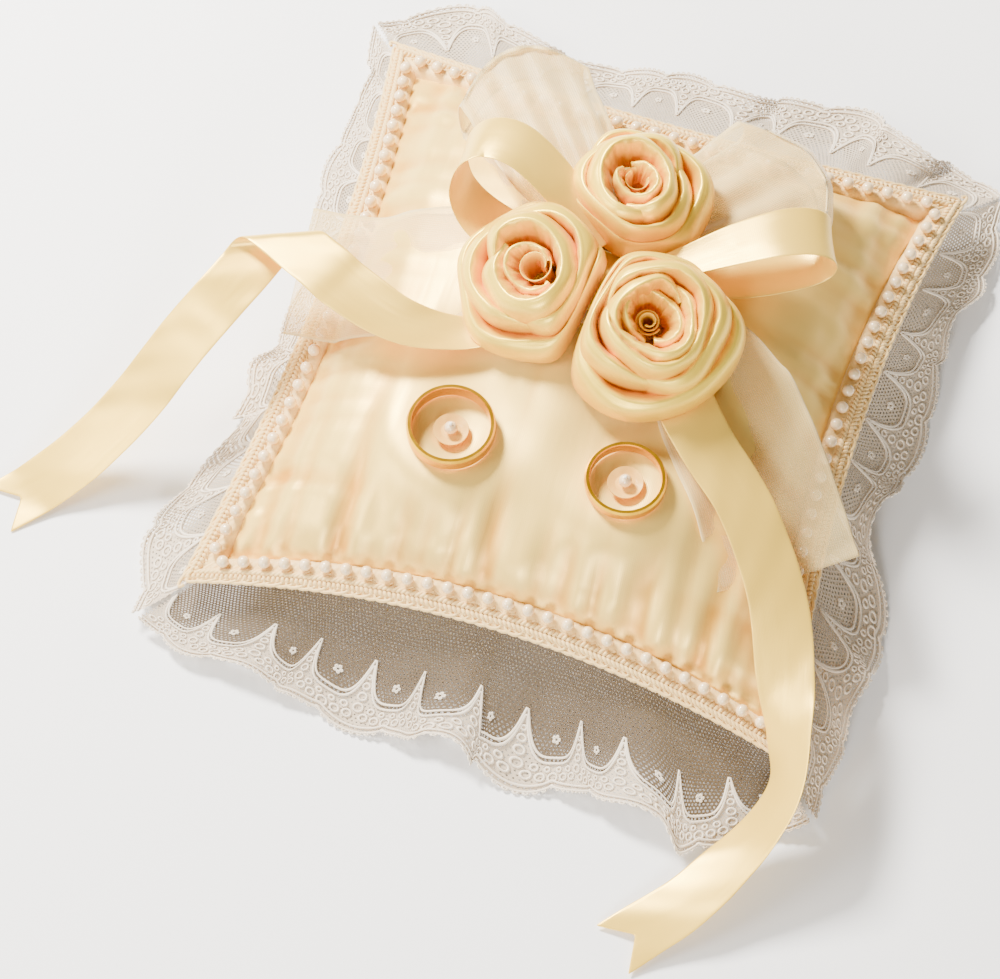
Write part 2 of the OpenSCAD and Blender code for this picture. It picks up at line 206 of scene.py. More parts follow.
# ---- Finishes -------------------------------------------------------------
class Tree:
    """A thin wrapper that adds and links shader nodes."""

    def __init__(self, tree: bpy.types.NodeTree) -> None:
        """Hold the node tree."""
        self.tree = tree

    def add(self, kind: str, **values: object) -> bpy.types.Node:
        """Add a node and set its properties and inputs.

        Args:
            kind: the node's type name, such as ShaderNodeBump.
            **values: properties, or inputs by name with spaces as underscores.

        Returns:
            The node.
        """
        node = self.tree.nodes.new(kind)
        for key, value in values.items():
            if hasattr(node, key):
                setattr(node, key, value)
            else:
                self.feed(node.inputs[key.replace("_", " ")], value)
        return node

    def feed(self, socket: bpy.types.NodeSocket, value: object) -> None:
        """Link a socket to an output, or set its value."""
        if isinstance(value, bpy.types.NodeSocket):
            self.tree.links.new(value, socket)
        else:
            socket.default_value = value

    def maths(self, operation: str, a: object, b: object = 0.0) -> bpy.types.NodeSocket:
        """Output of a Math node."""
        node = self.tree.nodes.new("ShaderNodeMath")
        node.operation = operation
        self.feed(node.inputs[0], a)
        self.feed(node.inputs[1], b)
        return node.outputs[0]

    def scaled(self, value: object, gain: float, base: float) -> bpy.types.NodeSocket:
        """A value times a gain, plus a base."""
        return self.maths("ADD", self.maths("MULTIPLY", value, gain), base)

    def blend(self, share: object, a: object, b: object) -> bpy.types.NodeSocket:
        """Output of a colour mix from a to b."""
        node = self.tree.nodes.new("ShaderNodeMix")
        node.data_type = "RGBA"
        self.feed(node.inputs[0], share)
        self.feed(node.inputs[6], a)
        self.feed(node.inputs[7], b)
        return node.outputs[2]


def colour(red: float, green: float, blue: float) -> tuple[float, float, float, float]:
    """Opaque linear colour."""
    return (red, green, blue, 1.0)


def weave_group() -> bpy.types.NodeTree:
    """Node group of two crossing sets of threads on the cloth's own map.

    Returns:
        The group, with inputs Warp and Weft (threads per metre) and outputs Height and Streak.
    """
    found = bpy.data.node_groups.get("thread_weave")
    if found:
        return found
    group = bpy.data.node_groups.new("thread_weave", "ShaderNodeTree")
    for name, default in (("Warp", 17000.0), ("Weft", 13000.0)):
        socket = group.interface.new_socket(name, in_out="INPUT", socket_type="NodeSocketFloat")
        socket.default_value = default
    group.interface.new_socket("Height", in_out="OUTPUT", socket_type="NodeSocketFloat")
    group.interface.new_socket("Streak", in_out="OUTPUT", socket_type="NodeSocketFloat")
    t = Tree(group)
    given = t.add("NodeGroupInput")
    split = t.add("ShaderNodeSeparateXYZ", Vector=t.add("ShaderNodeUVMap", uv_map="cloth").outputs[0])
    warp = t.maths("SINE", t.maths("MULTIPLY", split.outputs[0], given.outputs["Warp"]))
    weft = t.maths("SINE", t.maths("MULTIPLY", split.outputs[1], given.outputs["Weft"]))
    height = t.maths("ADD", t.maths("MULTIPLY", warp, 0.5), t.maths("MULTIPLY", weft, 0.25))
    stretched = t.add("ShaderNodeCombineXYZ")
    t.feed(stretched.inputs[0], t.maths("MULTIPLY", split.outputs[0], 900.0))
    t.feed(stretched.inputs[1], t.maths("MULTIPLY", split.outputs[1], 60.0))
    streak = t.add("ShaderNodeTexNoise", Vector=stretched.outputs[0], Scale=1.0, Detail=3.0)
    out = t.add("NodeGroupOutput")
    t.feed(out.inputs["Height"], height)
    t.feed(out.inputs["Streak"], streak.outputs["Fac"])
    return group


def new_material(name: str) -> tuple[bpy.types.Material, Tree, bpy.types.Node]:
    """New node material with its tree and its Principled shader."""
    material = bpy.data.materials.new(name)
    material.use_nodes = True
    tree = Tree(material.node_tree)
    return material, tree, material.node_tree.nodes["Principled BSDF"]


@dataclass(frozen=True)
class Satin:
    """Satin cloth: glossy floats one way, with painted shade that turns the colour darker and warmer in
    folds.
    """

    name: str
    light: tuple[float, float, float, float]
    painted_shade_and_mottle_tone: tuple[float, float, float, float]
    roughness: float = 0.34
    anisotropic: float = 0.5
    gloss: float = 0.35

    def build(self) -> bpy.types.Material:
        """Make the material; it reads the cloth map and the fold attribute, which holds painted shade."""
        material, t, shader = new_material(self.name)
        weave = t.add("ShaderNodeGroup")
        weave.node_tree = weave_group()
        # Painted shade: the fold attribute blends the colour towards the darker, warmer shade tone in
        # creases; the mottle noise adds a small real change of tone.
        fold = t.add("ShaderNodeAttribute", attribute_name="fold").outputs["Fac"]
        mottled = t.add("ShaderNodeTexNoise", Scale=90.0, Detail=3.0)
        t.feed(mottled.inputs["Vector"], t.add("ShaderNodeTexCoord").outputs["Object"])
        spread = t.maths("MULTIPLY", t.maths("SUBTRACT", mottled.outputs["Fac"], 0.5), 0.16)
        share = t.maths("ADD", fold, spread)
        clamped = t.add("ShaderNodeClamp", Value=share).outputs[0]
        t.feed(shader.inputs["Base Color"], t.blend(clamped, self.light, self.painted_shade_and_mottle_tone))
        streak = t.maths("MULTIPLY", t.maths("SUBTRACT", weave.outputs["Streak"], 0.5), 0.22)
        t.feed(shader.inputs["Roughness"], t.maths("ADD", streak, self.roughness))
        coarse = t.maths("MULTIPLY", weave.outputs["Streak"], 1.5)
        height = t.maths("ADD", weave.outputs["Height"], coarse)
        bump = t.add("ShaderNodeBump", Strength=0.2, Distance=0.00005, Height=height)
        t.feed(shader.inputs["Normal"], bump.outputs[0])
        shader.inputs["Specular IOR Level"].default_value = 0.45
        shader.inputs["Metallic"].default_value = self.gloss
        shader.inputs["Anisotropic"].default_value = self.anisotropic
        shader.inputs["Sheen Weight"].default_value = 0.06
        shader.inputs["Sheen Roughness"].default_value = 0.35
        return material


@dataclass(frozen=True)
class Sheer:
    """Sheer ribbon: open weave that shows what lies under it, denser at the woven edges."""

    name: str = "sheer_ribbon"
    tint: tuple[float, float, float, float] = (0.93, 0.67, 0.22, 1.0)

    def build(self) -> bpy.types.Material:
        """Make the material; it reads the cloth map and the selvedge attribute."""
        material, t, shader = new_material(self.name)
        weave = t.add("ShaderNodeGroup")
        weave.node_tree = weave_group()
        weave.inputs["Warp"].default_value = 11000.0
        weave.inputs["Weft"].default_value = 11000.0
        edge = t.add("ShaderNodeAttribute", attribute_name="edge").outputs["Fac"]
        threads = t.maths("MULTIPLY", weave.outputs["Height"], 0.10)
        cover = t.maths("ADD", t.maths("ADD", threads, 0.30), t.maths("MULTIPLY", edge, 0.4))
        facing = t.add("ShaderNodeLayerWeight", Blend=0.35).outputs["Facing"]
        dense = t.maths("ADD", cover, t.maths("MULTIPLY", facing, 0.30))
        t.feed(shader.inputs["Alpha"], t.add("ShaderNodeClamp", Value=dense).outputs[0])
        pale = t.maths("MULTIPLY", weave.outputs["Streak"], 0.4)
        t.feed(shader.inputs["Base Color"], t.blend(pale, self.tint, colour(0.96, 0.84, 0.52)))
        bump = t.add("ShaderNodeBump", Strength=0.3, Distance=0.0001, Height=weave.outputs["Height"])
        t.feed(shader.inputs["Normal"], bump.outputs[0])
        shader.inputs["Roughness"].default_value = 0.42
        shader.inputs["Sheen Weight"].default_value = 0.5
        return material


@dataclass(frozen=True)
class Thread:
    """Spun thread: matte fibres with a fine twist."""

    name: str
    light: tuple[float, float, float, float]
    dark: tuple[float, float, float, float]
    twist: float = 2600.0
    sheen: float = 0.3
    stitch_and_painted_light: tuple[float, float, float, float] | None = None

    def build(self) -> bpy.types.Material:
        """Make the material on object coordinates; a per-vertex share lifts the thread to a lighter tone,
        for dense stitching and for painted light.
        """
        material, t, shader = new_material(self.name)
        place = t.add("ShaderNodeTexCoord").outputs["Object"]
        fibre = t.add("ShaderNodeTexNoise", Vector=place, Scale=self.twist, Detail=2.0)
        patch = t.add("ShaderNodeTexNoise", Vector=place, Scale=60.0, Detail=2.0)
        share = t.maths("ADD", t.maths("MULTIPLY", fibre.outputs["Fac"], 0.45),
                        t.maths("MULTIPLY", patch.outputs["Fac"], 0.5))
        tone = t.blend(share, self.light, self.dark)
        if self.stitch_and_painted_light:
            # The lighter tone marks dense stitching, and painted light where a side is painted lighter.
            stitched = t.add("ShaderNodeAttribute", attribute_name="stitch_and_painted_light").outputs["Fac"]
            tone = t.blend(stitched, tone, self.stitch_and_painted_light)
        t.feed(shader.inputs["Base Color"], tone)
        bump = t.add("ShaderNodeBump", Strength=0.5, Distance=0.0001, Height=fibre.outputs["Fac"])
        t.feed(shader.inputs["Normal"], bump.outputs[0])
        t.feed(shader.inputs["Roughness"], t.scaled(fibre.outputs["Fac"], 0.2, 0.5))
        shader.inputs["Sheen Weight"].default_value = self.sheen
        return material


@dataclass(frozen=True)
class Pearl:
    """Imitation pearl: a soft lustre under a clear coat."""

    name: str = "pearl_lustre"

    def build(self) -> bpy.types.Material:
        """Make the material; the colour turns a little at the rim."""
        material, t, shader = new_material(self.name)
        place = t.add("ShaderNodeTexCoord").outputs["Object"]
        cloud = t.add("ShaderNodeTexNoise", Vector=place, Scale=700.0, Detail=2.0)
        body = t.blend(cloud.outputs["Fac"], colour(0.93, 0.74, 0.46), colour(0.86, 0.62, 0.32))
        rim = t.add("ShaderNodeLayerWeight", Blend=0.3).outputs["Facing"]
        t.feed(shader.inputs["Base Color"], t.blend(rim, body, colour(0.84, 0.50, 0.20)))
        t.feed(shader.inputs["Roughness"], t.scaled(cloud.outputs["Fac"], 0.12, 0.2))
        shader.inputs["Coat Weight"].default_value = 0.8
        shader.inputs["Coat Roughness"].default_value = 0.12
        shader.inputs["Subsurface Weight"].default_value = 0.15
        shader.inputs["Subsurface Radius"].default_value = (0.001, 0.0007, 0.0004)
        return material


@dataclass(frozen=True)
class Gold:
    """Polished yellow gold with hairline wear."""

    name: str = "polished_gold"

    def build(self) -> bpy.types.Material:
        """Make the material on object coordinates."""
        material, t, shader = new_material(self.name)
        place = t.add("ShaderNodeTexCoord").outputs["Object"]
        squeezed = t.add("ShaderNodeMapping", Vector=place, Scale=(300.0, 300.0, 6000.0))
        lines = t.add("ShaderNodeTexNoise", Vector=squeezed.outputs[0], Scale=1.0, Detail=3.0)
        t.feed(shader.inputs["Roughness"], t.scaled(lines.outputs["Fac"], 0.12, 0.16))
        cloud = t.add("ShaderNodeTexNoise", Vector=place, Scale=120.0)
        tone = t.blend(cloud.outputs["Fac"], colour(0.92, 0.52, 0.0), colour(0.84, 0.41, 0.0))
        t.feed(shader.inputs["Base Color"], tone)
        bump = t.add("ShaderNodeBump", Strength=0.08, Distance=0.00005, Height=lines.outputs["Fac"])
        t.feed(shader.inputs["Normal"], bump.outputs[0])
        shader.inputs["Metallic"].default_value = 1.0
        return material


@dataclass(frozen=True)
class Sequin:
    """Thin translucent plastic cup with a pearly face."""

    name: str = "cup_sequin"

    def build(self) -> bpy.types.Material:
        """Make the material on object coordinates."""
        material, t, shader = new_material(self.name)
        place = t.add("ShaderNodeTexCoord").outputs["Object"]
        cloud = t.add("ShaderNodeTexNoise", Vector=place, Scale=400.0, Detail=2.0)
        tone = t.blend(cloud.outputs["Fac"], colour(0.92, 0.56, 0.14), colour(0.84, 0.42, 0.07))
        t.feed(shader.inputs["Base Color"], tone)
        t.feed(shader.inputs["Roughness"], t.scaled(cloud.outputs["Fac"], 0.2, 0.12))
        shader.inputs["Coat Weight"].default_value = 0.6
        return material


class Finish(Enum):
    """The finishes of the pillow's pieces."""

    # Each satin's second colour is its painted shade tone, used in creases and folds.
    PILLOW = Satin("pillow_satin", colour(0.94, 0.64, 0.14), colour(0.76, 0.34, 0.02),
                   roughness=0.42, gloss=0.3)
    RIBBON = Satin("ribbon_satin", colour(0.95, 0.62, 0.085), colour(0.86, 0.38, 0.01), roughness=0.34)
    ROSE = Satin("rose_satin", colour(0.97, 0.67, 0.045), colour(0.90, 0.37, 0.0), roughness=0.36)
    SHEER = Sheer()
    LACE = Thread("lace_thread", colour(0.88, 0.77, 0.62), colour(0.70, 0.58, 0.43))
    # The net's near-black tones are painted shade, for the shade under and behind the ruffle; its lighter
    # tone is the stitched net, also used as painted light by side.
    NET = Thread("net_thread", colour(0.12, 0.076, 0.032), colour(0.08, 0.048, 0.018),
                 stitch_and_painted_light=colour(0.56, 0.45, 0.32))
    BRAID = Thread("braid_thread", colour(0.92, 0.68, 0.28), colour(0.78, 0.46, 0.12),
                   twist=1500.0, sheen=0.4)
    SEWING = Thread("sewing_thread", colour(0.93, 0.88, 0.76), colour(0.85, 0.76, 0.6))
    PEARL = Pearl()
    GOLD = Gold()
    SEQUIN = Sequin()


MADE: dict[Finish, bpy.types.Material] = {}


def finish_of(finish: Finish) -> bpy.types.Material:
    """The material of a finish, made once."""
    if finish not in MADE:
        MADE[finish] = finish.value.build()
    return MADE[finish]


def dress(obj: bpy.types.Object, finish: Finish, body: str | None = ROOT,
          nodes: Sequence[str] = ()) -> bpy.types.Object:
    """Give a new piece its finish, its body and the nodes it stands for.

    Args:
        obj: the piece.
        finish: its finish.
        body: the body it moves with, or None to leave it unattached.
        nodes: CAD nodes that it replaces.

    Returns:
        The same object.
    """
    obj.data.materials.clear()
    obj.data.materials.append(finish_of(finish))
    if body:
        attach(obj, body)
    if nodes:
        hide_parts(*nodes)
    LOG.info("%s: %d faces, %s", obj.name, len(obj.data.polygons), finish.name.lower())
    return obj


def mark(obj: bpy.types.Object, name: str, values: Array) -> None:
    """Write one number per vertex as a named attribute."""
    layer = obj.data.attributes.new(name, "FLOAT", "POINT")
    layer.data.foreach_set("value", np.ascontiguousarray(values, dtype=np.float32))


# ---- Pillow ---------------------------------------------------------------
@dataclass(frozen=True)
class PillowShape:
    """Outline, seam and crown of the stuffed pillow."""

    half_w: float = 72.5
    half_d: float = 77.0
    pull: float = 8.0
    corner_z: float = 12.0
    middle_z: float = 22.0
    rise: float = 24.0
    drop: float = 26.5
    power: float = 0.48
    seats: tuple[tuple[float, float], ...] = ((-23.5, -37.0), (22.3, -37.6))
    seat_z: float = 41.5

    def outline(self, s: Array, t: Array) -> tuple[Array, Array]:
        """Place across and along for s and t from -1 to 1."""
        x = s * (self.half_w - self.pull * (1 - t * t))
        y = t * (self.half_d - self.pull * (1 - s * s))
        return x, y

    def seam(self, s: Array, t: Array) -> Array:
        """Height of the seam surface."""
        return self.corner_z + (self.middle_z - self.corner_z) * (1 - s * s * t * t)

    def crown(self, s: Array, t: Array) -> Array:
        """Share of the full rise, nothing on the seam."""
        return np.maximum((1 - s * s) * (1 - t * t), 0) ** self.power

    def seat_share(self, x: Array, y: Array) -> Array:
        """How level the fabric lies, one under a ring."""
        near = np.min([np.hypot(x - a, y - b) for a, b in self.seats], axis=0)
        return 1 - smooth((near - 15) / 10)

    def top(self, s: Array, t: Array) -> Array:
        """Height of the top panel."""
        x, y = self.outline(s, t)
        share = self.seat_share(x, y)
        high = self.seam(s, t) + self.rise * self.crown(s, t)
        return (1 - share) * high + share * self.seat_z

    def bottom(self, s: Array, t: Array) -> Array:
        """Height of the underside, flat where it rests."""
        low = self.seam(s, t) - self.drop * self.crown(s, t)
        soft = 4.0
        eased = soft * np.exp(np.minimum(low - soft, 0) / soft) - soft * math.exp(-4)
        return np.where(low < soft, eased, low).clip(0.02)

    def near(self, x: Array, y: Array) -> tuple[Array, Array]:
        """s and t for a place, close enough to lay ribbon on."""
        t = y / (self.half_d - self.pull * 0.75)
        for _ in range(4):
            s = x / (self.half_w - self.pull * (1 - np.clip(t, -1, 1) ** 2))
            t = y / (self.half_d - self.pull * (1 - np.clip(s, -1, 1) ** 2))
        return s, t

    def rest(self, x: Array, y: Array) -> Array:
        """Height of anything laid on the pillow or on its braid."""
        s, t = self.near(x, y)
        edge = np.maximum(abs(s), abs(t))
        s, t = np.clip(s, -1, 1), np.clip(t, -1, 1)
        trim = self.seam(s, t) + BRAID_TOP
        return np.where(edge > 0.93, np.maximum(self.top(s, t), trim), self.top(s, t))


@dataclass
class Pillow:
    """The stuffed satin cover."""

    form: PillowShape
    cells: int = 56
    frames: int = 16
    swell_cap: float = 2.2
    gather: float = 1.15

    def build(self) -> None:
        """Make, stuff and gather the cover."""
        obj = self.blank()
        start = coordinates(obj.data)
        self.stuff(obj, start)
        self.relax(obj)
        subdivide(obj, 1)
        applied(obj)
        fold = self.gather_edges(obj)
        for polygon in obj.data.polygons:
            polygon.use_smooth = True
        # The fold attribute carries painted shade in the valleys of the gathers.
        mark(obj, "fold", fold)
        dress(obj, Finish.PILLOW,
              nodes=("pillow_top_panel", "pillow_bottom_panel", "pillow_filling"))

    def blank(self) -> bpy.types.Object:
        """Closed cover of two panels joined at the seam, finer near it."""
        bm = grid_mesh(self.cells, self.cells)
        lay_uv(bm, 150, 160)
        lower = bmesh.ops.duplicate(bm, geom=bm.verts[:] + bm.edges[:] + bm.faces[:])["geom"]
        below = {g for g in lower if isinstance(g, bmesh.types.BMVert)}
        bmesh.ops.reverse_faces(bm, faces=[g for g in lower if isinstance(g, bmesh.types.BMFace)])
        under = np.array([v in below for v in bm.verts])

        def place(flat: Array) -> Array:
            s, t = np.sin(flat[:, 0] * math.pi / 2), np.sin(flat[:, 1] * math.pi / 2)
            x, y = self.form.outline(s, t)
            z = np.where(under, self.form.bottom(s, t), self.form.top(s, t))
            return np.stack([x, y, z], 1)

        shape(bm, place)
        bmesh.ops.remove_doubles(bm, verts=bm.verts, dist=0.05)
        return to_object(bm, "pillow_cover")

    def stuff(self, obj: bpy.types.Object, start: Array) -> None:
        """Swell the cover by cloth simulation, held at the seam, the seats, the bow and the underside."""
        x, y, z = (start / MM).T
        s, t = self.form.near(x, y)
        edge = np.maximum(abs(s), abs(t))
        hold = np.maximum.reduce([
            smooth((edge - 0.985) / 0.01),
            self.form.seat_share(x, y) ** 2,
            1 - smooth((np.hypot(x - KNOT[0], y - KNOT[1]) - 8) / 8),
            1 - smooth((z - 0.6) / 1.0),
        ])
        group = obj.vertex_groups.new(name="hold")
        for index, weight in enumerate(hold):
            group.add([index], float(weight), "REPLACE")
        cloth = obj.modifiers.new("cloth", "CLOTH")
        options = cloth.settings
        options.quality = 6
        options.mass = 0.15
        options.tension_stiffness = 12
        options.compression_stiffness = 12
        options.bending_stiffness = 0.05
        options.vertex_group_mass = "hold"
        options.shrink_min = -0.012
        options.use_pressure = True
        options.uniform_pressure_force = 3.0
        options.effector_weights.gravity = 0.0
        cloth.collision_settings.use_self_collision = False
        cloth.collision_settings.use_collision = False
        scene = bpy.context.scene
        for number in range(1, self.frames + 1):
            scene.frame_set(number)
        applied(obj)
        moved = coordinates(obj.data)
        step = moved - start
        size = np.linalg.norm(step, axis=1, keepdims=True)
        cap = self.swell_cap * MM
        limited = start + step * (cap * np.tanh(size / cap) / np.maximum(size, 1e-9))
        limited[:, 2] = np.maximum(limited[:, 2], 0.00002)
        obj.data.vertices.foreach_set("co", limited.ravel())
        scene.frame_set(1)
        LOG.info("pillow_cover swelled by up to %.1f mm", size.max() / MM)

    @staticmethod
    def relax(obj: bpy.types.Object) -> None:
        """Even out the small buckles of the stuffed cloth."""
        bm = bmesh.new()
        bm.from_mesh(obj.data)
        free = [v for v in bm.verts if v.co.z > 0.004]
        for _ in range(4):
            bmesh.ops.smooth_vert(bm, verts=free, factor=0.5, use_axis_z=True)
        bm.to_mesh(obj.data)
        bm.free()

    def gather_edges(self, obj: bpy.types.Object) -> Array:
        """Raise the soft gathers that run in from each seam, and the dimples of the sewn pearls.

        Args:
            obj: the stuffed cover.

        Returns:
            The painted shade share of each vertex, higher in the valleys of the gathers.
        """
        co = coordinates(obj.data) / MM
        x, y, z = co.T
        s, t = self.form.near(x, y)
        s, t = np.clip(s, -1, 1), np.clip(t, -1, 1)
        upper = smooth((z - self.form.seam(s, t) + 1) / 2)
        lift, fold = np.zeros_like(x), np.zeros_like(x)
        for side, (along, toward, sign) in enumerate(((x, t, -1), (y, s, 1), (x, t, 1), (y, s, -1))):
            inward = (1 - sign * toward) * 72
            bend = along + 0.06 * inward * waves(along, side + 20, (40, 23))
            folds = waves(bend, side, (7.3, 9.7, 13.1, 19.0))
            crest = np.sign(folds) * abs(folds) ** 0.8
            reach, height = (30, 1.6) if side == 0 else (15, 1.0)
            fade = np.exp(-inward / reach) * smooth(inward / 3) * (0.5 + 0.5 * upper)
            rise = self.gather * height * fade * crest * (1 - 0.85 * self.form.seat_share(x, y))
            lift += rise
            # Painted shade: the colour darkens where a gather dips.
            fold += np.clip(-rise, 0, 1) * 0.9
        lift += 0.25 * waves(x + 0.4 * y, 40, (31, 43)) * upper * self.form.crown(s, t)
        normals = np.empty(len(co) * 3)
        obj.data.vertices.foreach_get("normal", normals)
        co += normals.reshape(-1, 3) * lift[:, None]
        for a, b in self.form.seats:
            r = np.hypot(x - a, y - b)
            co[:, 2] -= np.where(upper > 0.5, 1.6 * np.exp(-((r / 4.6) ** 2)), 0)
            under_ring = (r < 13.5) & (upper > 0.5)
            co[under_ring, 2] = np.minimum(co[under_ring, 2], self.form.seat_z + 0.15)
        r = np.hypot(x - KNOT[0], y - KNOT[1])
        co[:, 2] -= np.where(upper > 0.5, 1.5 * np.exp(-((r / 16) ** 2)), 0)
        co[:, 2] = np.maximum(co[:, 2], 0.02)
        obj.data.vertices.foreach_set("co", (co * MM).ravel())
        obj.data.update()
        return fold


# ---- Edge: lace, braid, pearls --------------------------------------------
# Embroidered rings of one swag: across from its middle, up from the hem, and radius.
SWAG_RINGS = (
    (0, 3.9, 1.15), (-2.9, 4.0, 0.95), (2.9, 4.0, 0.95), (-5.6, 4.3, 0.95), (5.6, 4.3, 0.95),
    (-1.5, 6.0, 0.6), (1.5, 6.0, 0.6), (-4.3, 6.3, 0.75), (4.3, 6.3, 0.75),
)
# Rings under each tip between two swags: up from the hem, and radius.
TIP_RINGS = ((6.6, 1.1), (9.6, 1.0), (12.4, 0.8), (14.8, 0.55))
# Half thickness of the embroidery's cords.
LINE_CORD, RING_CORD, DOT_CORD = 0.32, 0.27, 0.24
# Inset of the net's holes, which is half the thickness of its threads.
DENSE_THREAD, OPEN_THREAD = 0.33, 0.25


class Side(Enum):
    """The four sides, in turn from the front."""

    FRONT = 0
    RIGHT = 1
    BACK = 2
    LEFT = 3


@dataclass(frozen=True)
class EdgeLine:
    """One side of the pillow as a line that other pieces follow."""

    form: PillowShape
    side: Side

    @property
    def along(self) -> float:
        """Half the side's length."""
        return self.form.half_w if self.side.value % 2 == 0 else self.form.half_d

    @property
    def away(self) -> float:
        """Distance of the side's corners from the middle."""
        return self.form.half_d if self.side.value % 2 == 0 else self.form.half_w

    def turn(self, points: Array) -> Array:
        """Turn points made for the front side round to this side."""
        return turned(points, 0, 90 * self.side.value)

    def beside(self, u: Array, out: Array, up: Array) -> Array:
        """Points beside the seam at u from -1 to 1, out from it and up from it."""
        x = u * (self.along + out)
        y = -(self.away + out - self.form.pull * (1 - u * u))
        z = self.form.corner_z + (self.form.middle_z - self.form.corner_z) * (1 - u * u) + up
        return self.turn(np.stack([x, y, z + 0 * x], -1))


@dataclass
class Lace:
    """The gathered lace ruffle of one side: net, swags, rings and a scalloped hem."""

    line: EdgeLine
    reach: float
    depth: float
    corner: float = 17.0
    lift: float = 5.5
    flutes: float = 3.2
    sway: float = 2.6
    bulges: tuple[tuple[float, float, float], ...] = ()
    # Share of painted light on this side's net.
    painted_side_light: float = 0.0
    swags: int = 12
    pitch: float = 15.0
    cell: float = 1.05
    heading: float = 0.07
    scallop: float = 1.9
    swag_rise: float = 12.0
    swag_blunt: float = 0.012

    @property
    def length(self) -> float:
        """Length of the strip before it is gathered."""
        return self.swags * self.pitch

    def surface(self, u: Array, v: Array) -> Array:
        """Place of the cloth at u along the side and v from the seam to the hem."""
        form, k = self.line.form, self.line.side.value
        out = self.reach + (self.corner - self.reach) * u**4
        for middle, width, extra in self.bulges:
            out = out + extra * np.exp(-(((u - middle) / width) ** 2))
        calm = 1 - u**6
        turn = math.pi * self.flutes * (u + 1)
        turn = turn + 0.5 * np.sin(5.1 * u + 1.7 * k) + 0.35 * np.sin(11 * u + k)
        size = 1 + 0.25 * np.sin(3.7 * u + 2.1 * k)
        drop = np.maximum(v - self.heading, 0) / (1 - self.heading)
        x = u * (self.line.along + 0.3 + v * (self.corner - 0.3))
        x = x + self.sway * size * drop * calm * np.sin(2 * turn + 0.4)
        y = self.line.away + 0.3 - form.pull * (1 - u * u) * (1 - 0.5 * v) + v * (out - 0.3)
        y = y + v * v * calm * (2.6 * np.cos(turn + 0.6) * size + 0.9 * np.cos(3 * turn + k))
        seam = form.corner_z + (form.middle_z - form.corner_z) * (1 - u * u)
        corner_flute = 4.0 * drop * abs(u) ** 14
        z = seam * np.maximum(1 - drop, 0) ** 1.4 + corner_flute
        z = z + self.lift * size * drop * calm * (0.5 - 0.5 * np.cos(turn)) + 0.35 * v
        z = z + 1.5 * drop * calm * (0.5 - 0.5 * np.cos(3 * turn + 0.9 * k))
        return self.line.turn(np.stack([x, -y, z], -1))

    def lay(self, flat: Array) -> Array:
        """Place of flat points x along the strip, y down it and z above its face."""
        u = np.clip(flat[:, 0] / (self.length / 2), -1, 1) * (1 - 0.25 / self.line.along)
        v = flat[:, 1] / self.depth
        step = 1e-3
        here = self.surface(u, v)
        du = self.surface(u + step, v) - self.surface(u - step, v)
        dv = self.surface(u, v + step) - self.surface(u, v - step)
        normal = unit(np.cross(dv, du))
        normal *= np.sign(normal[:, 2:3] + 1e-9)
        points = here + normal * flat[:, 2:3]
        points[:, 2] = np.maximum(points[:, 2], 0.05)
        return points

    def hem(self, x: Array) -> Array:
        """Depth of the scalloped hem at x."""
        return self.depth - self.scallop * (1 - abs(np.cos(math.pi * x / self.pitch)) ** 0.6)

    def swag(self, x: Array, drop: float) -> Array:
        """Depth of the swag line at x, its tips towards the pillow."""
        share = abs(((x / self.pitch) % 1) * 2 - 1)
        rise = 1 - np.sqrt((1 - share**4.0) ** 2 + self.swag_blunt)
        return self.depth - drop - self.swag_rise * rise

    def net(self) -> bmesh.types.BMesh:
        """Flat sheet of six-sided holes, small ones where the embroidery is dense."""
        bm = bmesh.new()
        a = self.cell / math.sqrt(3)
        for shift in (0.0, 1.0):
            made = bmesh.ops.create_circle(bm, cap_ends=True, segments=6, radius=a)["verts"]
            bmesh.ops.translate(bm, verts=made, vec=(shift * self.cell / 2, shift * 1.5 * a, 0))
        columns = int(self.length / self.cell) + 1
        rows = int(self.depth / (3 * a)) + 1
        self.repeat(bm, columns, (self.cell, 0, 0))
        self.repeat(bm, rows, (0, 3 * a, 0))
        bmesh.ops.translate(bm, verts=bm.verts, vec=(-self.length / 2, 0, 0))
        gone = [f for f in bm.faces if not self.inside(f)]
        bmesh.ops.delete(bm, geom=gone, context="FACES")
        bmesh.ops.remove_doubles(bm, verts=bm.verts, dist=self.cell / 20)
        dense, open_ = [], []
        for face in bm.faces:
            c = face.calc_center_median()
            dense_here = c.y > self.swag(np.array([c.x]), 7.6)[0] + 0.6
            (dense if dense_here else open_).append(face)
        holes = dense + open_
        bmesh.ops.inset_individual(bm, faces=dense, thickness=DENSE_THREAD, use_even_offset=True)
        bmesh.ops.inset_individual(bm, faces=open_, thickness=OPEN_THREAD, use_even_offset=True)
        bmesh.ops.delete(bm, geom=holes, context="FACES")
        return bm

    def inside(self, face: bmesh.types.BMFace) -> bool:
        """Whether a cell lies on the strip."""
        c = face.calc_center_median()
        return abs(c.x) < self.length / 2 - 0.3 and c.y < self.hem(np.array([c.x]))[0]

    @staticmethod
    def repeat(bm: bmesh.types.BMesh, count: int, step: tuple[float, float, float]) -> None:
        """Repeat all there is along a step, count times in all."""
        done = 1
        while done < count:
            extra = min(done, count - done)
            geometry = bm.verts[:] + bm.edges[:] + bm.faces[:]
            if extra < done:
                limit = len(bm.faces) * extra // done
                faces = bm.faces[:][:limit]
                corners = {v for f in faces for v in f.verts}
                edges = {e for f in faces for e in f.edges}
                geometry = list(corners) + list(edges) + faces
            made = bmesh.ops.duplicate(bm, geom=geometry)["geom"]
            verts = [g for g in made if isinstance(g, bmesh.types.BMVert)]
            bmesh.ops.translate(bm, verts=verts, vec=tuple(done * c for c in step))
            done += extra

